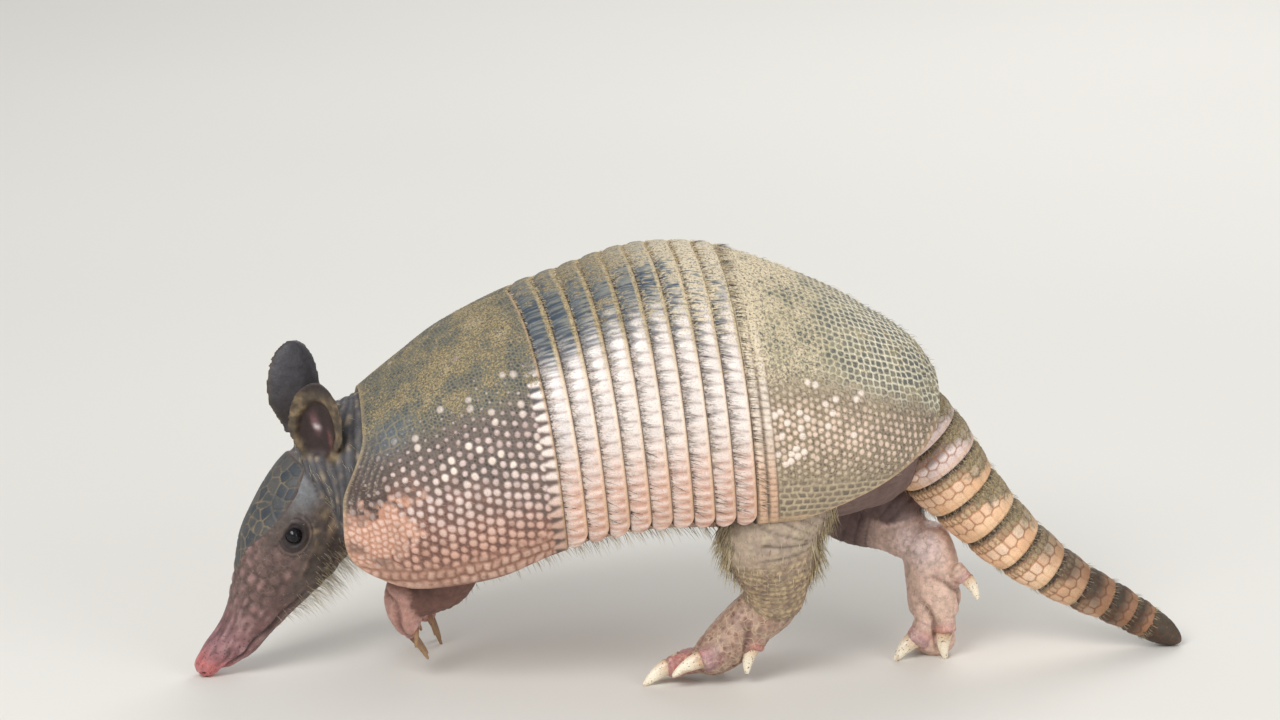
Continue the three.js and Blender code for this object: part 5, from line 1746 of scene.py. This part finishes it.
def band_hair():
    """Hairs from under each band's front, sparse ones over the shields, and tufts on the ridge."""
    draw = np.random.default_rng(200)
    dark, pale, tan = colour(70, 62, 58), colour(222, 208, 184), colour(206, 182, 128)
    x, degrees = at_band_edges(lambda: draw.uniform(-112, 112, 620), 0.3)
    lift, length = draw.uniform(0.02, 0.16, len(x)), draw.uniform(4, 6.5, len(x))
    shell_hairs("hair_bands", x, degrees, -0.35, lift, length, 201, (dark, dark, pale))
    x, degrees = at_band_edges(lambda: draw.normal(0, 26, 130), -0.4)
    lift, length = draw.uniform(0.3, 1.1, len(x)), draw.uniform(2.2, 4.8, len(x))
    shell_hairs("hair_ridge", x, degrees, -0.3, lift, length, 202, (tan, pale))
    count = 2600
    share = draw.uniform(0, 1, count)
    degrees = draw.uniform(-100, 100, count)
    on_front = lerp(front_edge(degrees) + 1, band_edge(0, degrees), share)
    on_rear = lerp(band_edge(BANDS, degrees) + 1, rear_edge(degrees) - 1, share)
    x = np.where(draw.uniform(0, 1, count) < 0.45, on_front, on_rear)
    lift, length = draw.uniform(0.25, 0.8, count), draw.uniform(1.6, 3.2, count)
    shell_hairs("hair_shields", x, degrees, -0.1, lift, length, 203, (tan, pale, dark), thick=0.06)


def grown(made, name, density, count, lean, rise, length, droop, shades, seed, thick=0.085):
    """Hairs on the skin: `density` says how likely each point is to grow one, and they lie along `lean`."""
    draw = np.random.default_rng(seed)
    chance = density * made.spacing
    rise = np.broadcast_to(rise, len(made.p))
    pick = draw.choice(len(chance), count, p=chance / chance.sum())
    normal = made.normals[pick]
    lean = np.broadcast_to(lean, made.p.shape)[pick]
    lean = unit(lean - normal * np.sum(lean * normal, -1, keepdims=True) * 0.8)
    way = lean + normal * draw.uniform(0.5, 1.5, (count, 1)) * rise[pick, None]
    way = way + draw.normal(0, 0.14, (count, 3))
    roots = made.p[pick] - normal * 0.25 + draw.normal(0, 0.25, (count, 3))
    long = draw.uniform(0.6, 1.15, count) * np.broadcast_to(length, len(made.p))[pick]
    bend = np.tile([0.0, 0, -droop], (count, 1)) + draw.normal(0, 0.08, (count, 3))
    tip_height = roots[:, 2] + ((unit(way) + bend) * long[:, None])[:, 2]
    long = long * np.where(tip_height < 0.5, 0.3, 1)
    names = [part.name for part in made.parts]
    number = np.array([names.index(n) for n in made.name[pick]])
    strip = (number + made.angle[pick] / 2 / math.pi + 0.5) / len(names)
    place = np.stack([strip, made.s[pick] / HAIR_MAP], -1)
    hairs(name, roots, way, long, bend, mixed(draw, count, *shades), place, thick)


def body_hair(made):
    """Fringes and sparse coats on the legs, belly, cheeks, throat and neck."""
    p, name = made.p, made.name
    straw, cream, brown = colour(212, 192, 138), colour(222, 210, 180), colour(120, 98, 78)
    below = ~under_shell(p) & (np.abs(degrees_round(p)) > 96)
    for foot, count in (("hl", 1100), ("hr", 800), ("fl", 30), ("fr", 30)):
        hind, near = foot[0] == "h", foot == "hl"
        leg = name == "leg_" + foot
        end = made.s[leg].max()
        upper = smooth(end - 8, end - 30, made.s) if hind else smooth(end - 4, end - 14, made.s)
        edge = smooth(0.55, 0.9, np.abs(made.normals[:, 0]))
        length = lerp(2.6, 8.5 if hind else 4.0, edge) * lerp(0.5, 1, upper)
        density = (leg & below) * (0.04 + upper) * (0.16 + edge)
        shades = (straw, cream, cream, brown) if near else (brown, brown * 0.6, cream * 0.6)
        grown(made, "hair_leg_" + foot, density, count, [0.0, 0, -1], lerp(0.12, 0.5, edge), length, 0.15,
              shades, 210 + count, 0.12 if near else 0.07)
    belly = (name == "trunk") & below & (p[:, 2] < 84) & (p[:, 0] < 66)
    grown(made, "hair_belly", belly * 1.0, 1800, [0.5, 0, -1], 0.5, 6.5, 0.3,
          (straw, cream, brown), 220, 0.11)
    t, _, u = in_head(p)
    head = (name == "head") & (made.ear < 0.02)
    cheek = head * np.maximum(smooth(46, 58, t), smooth(20, 38, t) * smooth(-8, -14, u)) * smooth(3, -6, u)
    cheek = cheek * smooth(97, 90, t)
    throat = smooth(-10, -20, u) * smooth(24, 46, t)
    grown(made, "hair_cheeks", cheek * (0.25 + throat), 800, BACK * 0.6 - UP * 0.4 + [0.1, 0, -0.9], 0.2,
          lerp(3.6, 12.0, throat * smooth(22, 46, t)), 0.35, (straw, cream, cream, brown), 221, 0.07)
    face = head * smooth(14, 30, t) * smooth(60, 44, t) + head * 0.5 * bump_at(t, 76, 18) * smooth(6, -2, u)
    grown(made, "hair_face", face * 1.0, 600, BACK, 0.3, 1.6, 0.1, (brown, cream), 222, 0.045)
    neck = (name == "neck") & (p[:, 0] < -104) & (made.ear < 0.02)
    grown(made, "hair_neck", neck * 1.0, 700, [0.9, 0, -0.6], 0.3, 4.0, 0.25,
          (straw, brown, cream), 223, 0.07)


def tail_hair():
    """Short pale hairs that stand out from under the rear edge of each ring."""
    draw = np.random.default_rng(230)
    s = np.repeat([ring_end(i + 1) for i in range(TAIL_RINGS)], 110)
    s = s - draw.uniform(0, 0.012, len(s))
    angle = draw.uniform(0, 2 * math.pi, len(s))
    centre, axis, outward, r = tail_out(s, angle)
    roots = centre + outward * (r + 0.1)[:, None]
    way = axis + outward * draw.uniform(0.15, 0.8, (len(s), 1)) + draw.normal(0, 0.12, (len(s), 3))
    long = draw.uniform(2.2, 4.2, len(s)) * lerp(1, 0.7, s)
    roots[:, 2] = np.maximum(roots[:, 2], 0.3)
    long = np.where(roots[:, 2] + (unit(way) * long[:, None])[:, 2] < 0.3, 0.6, long)
    tint = mixed(draw, len(s), colour(222, 208, 170), colour(150, 130, 96))
    hairs("hair_tail", roots, way, long, -0.1 * outward, tint, np.stack([angle / 2 / math.pi, s], -1), 0.06)


# ---------------------------------------------------------------- the studio
def studio():
    """A pale floor with the model's soft shadow, soft lamps, and the camera on the animal's left."""
    scene = bpy.context.scene
    scene.view_settings.view_transform = "Standard"
    floor_mesh = bpy.data.meshes.new("floor")
    reach = 6.0  # metres
    corners = [(-reach, -reach, 0), (reach, -reach, 0), (reach, reach, 0), (-reach, reach, 0)]
    floor_mesh.from_pydata(corners, [], [(0, 1, 2, 3)])
    floor = bpy.data.objects.new("floor", floor_mesh)
    scene.collection.objects.link(floor)
    n = Nodes("floor")
    pale = n.mix(colour(223, 220, 213), colour(221, 218, 211), n.ramp(n.noise(500, 1), 0.3, 0.7))
    floor_mesh.materials.append(n.finish(pale, n.ramp(n.noise(400, 1), 0.3, 0.7, 0.8, 0.84)))

    world = bpy.data.worlds.new("studio")
    world.use_nodes = True
    scene.world = world
    background = world.node_tree.nodes["Background"]
    background.inputs["Color"].default_value = (*colour(236, 238, 240), 1)
    background.inputs["Strength"].default_value = 0.55
    target = Vector((0.0, 0.0, 0.07))
    lamps = {  # place, side and power
        "key": ((-0.9, -1.3, 1.5), 1.0, 30.0),
        "fill": ((1.3, -1.2, 0.7), 1.2, 9.0),
        "rear": ((0.6, 1.4, 1.2), 1.2, 13.0),
    }
    for name, (place, side, power) in lamps.items():
        light = bpy.data.lights.new(name, "AREA")
        light.size = side
        light.energy = power
        lamp = bpy.data.objects.new(name, light)
        scene.collection.objects.link(lamp)
        lamp.location = place
        lamp.rotation_mode = "QUATERNION"
        lamp.rotation_quaternion = (target - lamp.location).to_track_quat("-Z", "Y")

    azimuth, elevation = math.radians(3), math.radians(15)
    sight = Vector((math.sin(azimuth) * math.cos(elevation), math.cos(azimuth) * math.cos(elevation),
                    -math.sin(elevation)))
    up = Vector((math.sin(azimuth) * math.sin(elevation), math.cos(azimuth) * math.sin(elevation),
                 math.cos(elevation)))
    distance, above, view_width, sensor_width = 1900, 120, 512, 36  # millimetres
    camera = bpy.data.objects.new("camera", bpy.data.cameras.new("camera"))
    scene.collection.objects.link(camera)
    camera.data.sensor_width = sensor_width
    camera.data.lens = sensor_width * distance / view_width
    camera.data.clip_start, camera.data.clip_end = 0.01, 20
    camera.location = (Vector(SHIFT) + up * above - sight * distance) * MM
    camera.rotation_mode = "QUATERNION"
    camera.rotation_quaternion = sight.to_track_quat("-Z", "Y")
    scene.camera = camera


scapular()
for number in range(1, BANDS + 1):
    band(number)
pelvic()
tail()
body_hair(skin())
head_shield()
eyes()
claws()
band_hair()
tail_hair()
studio()
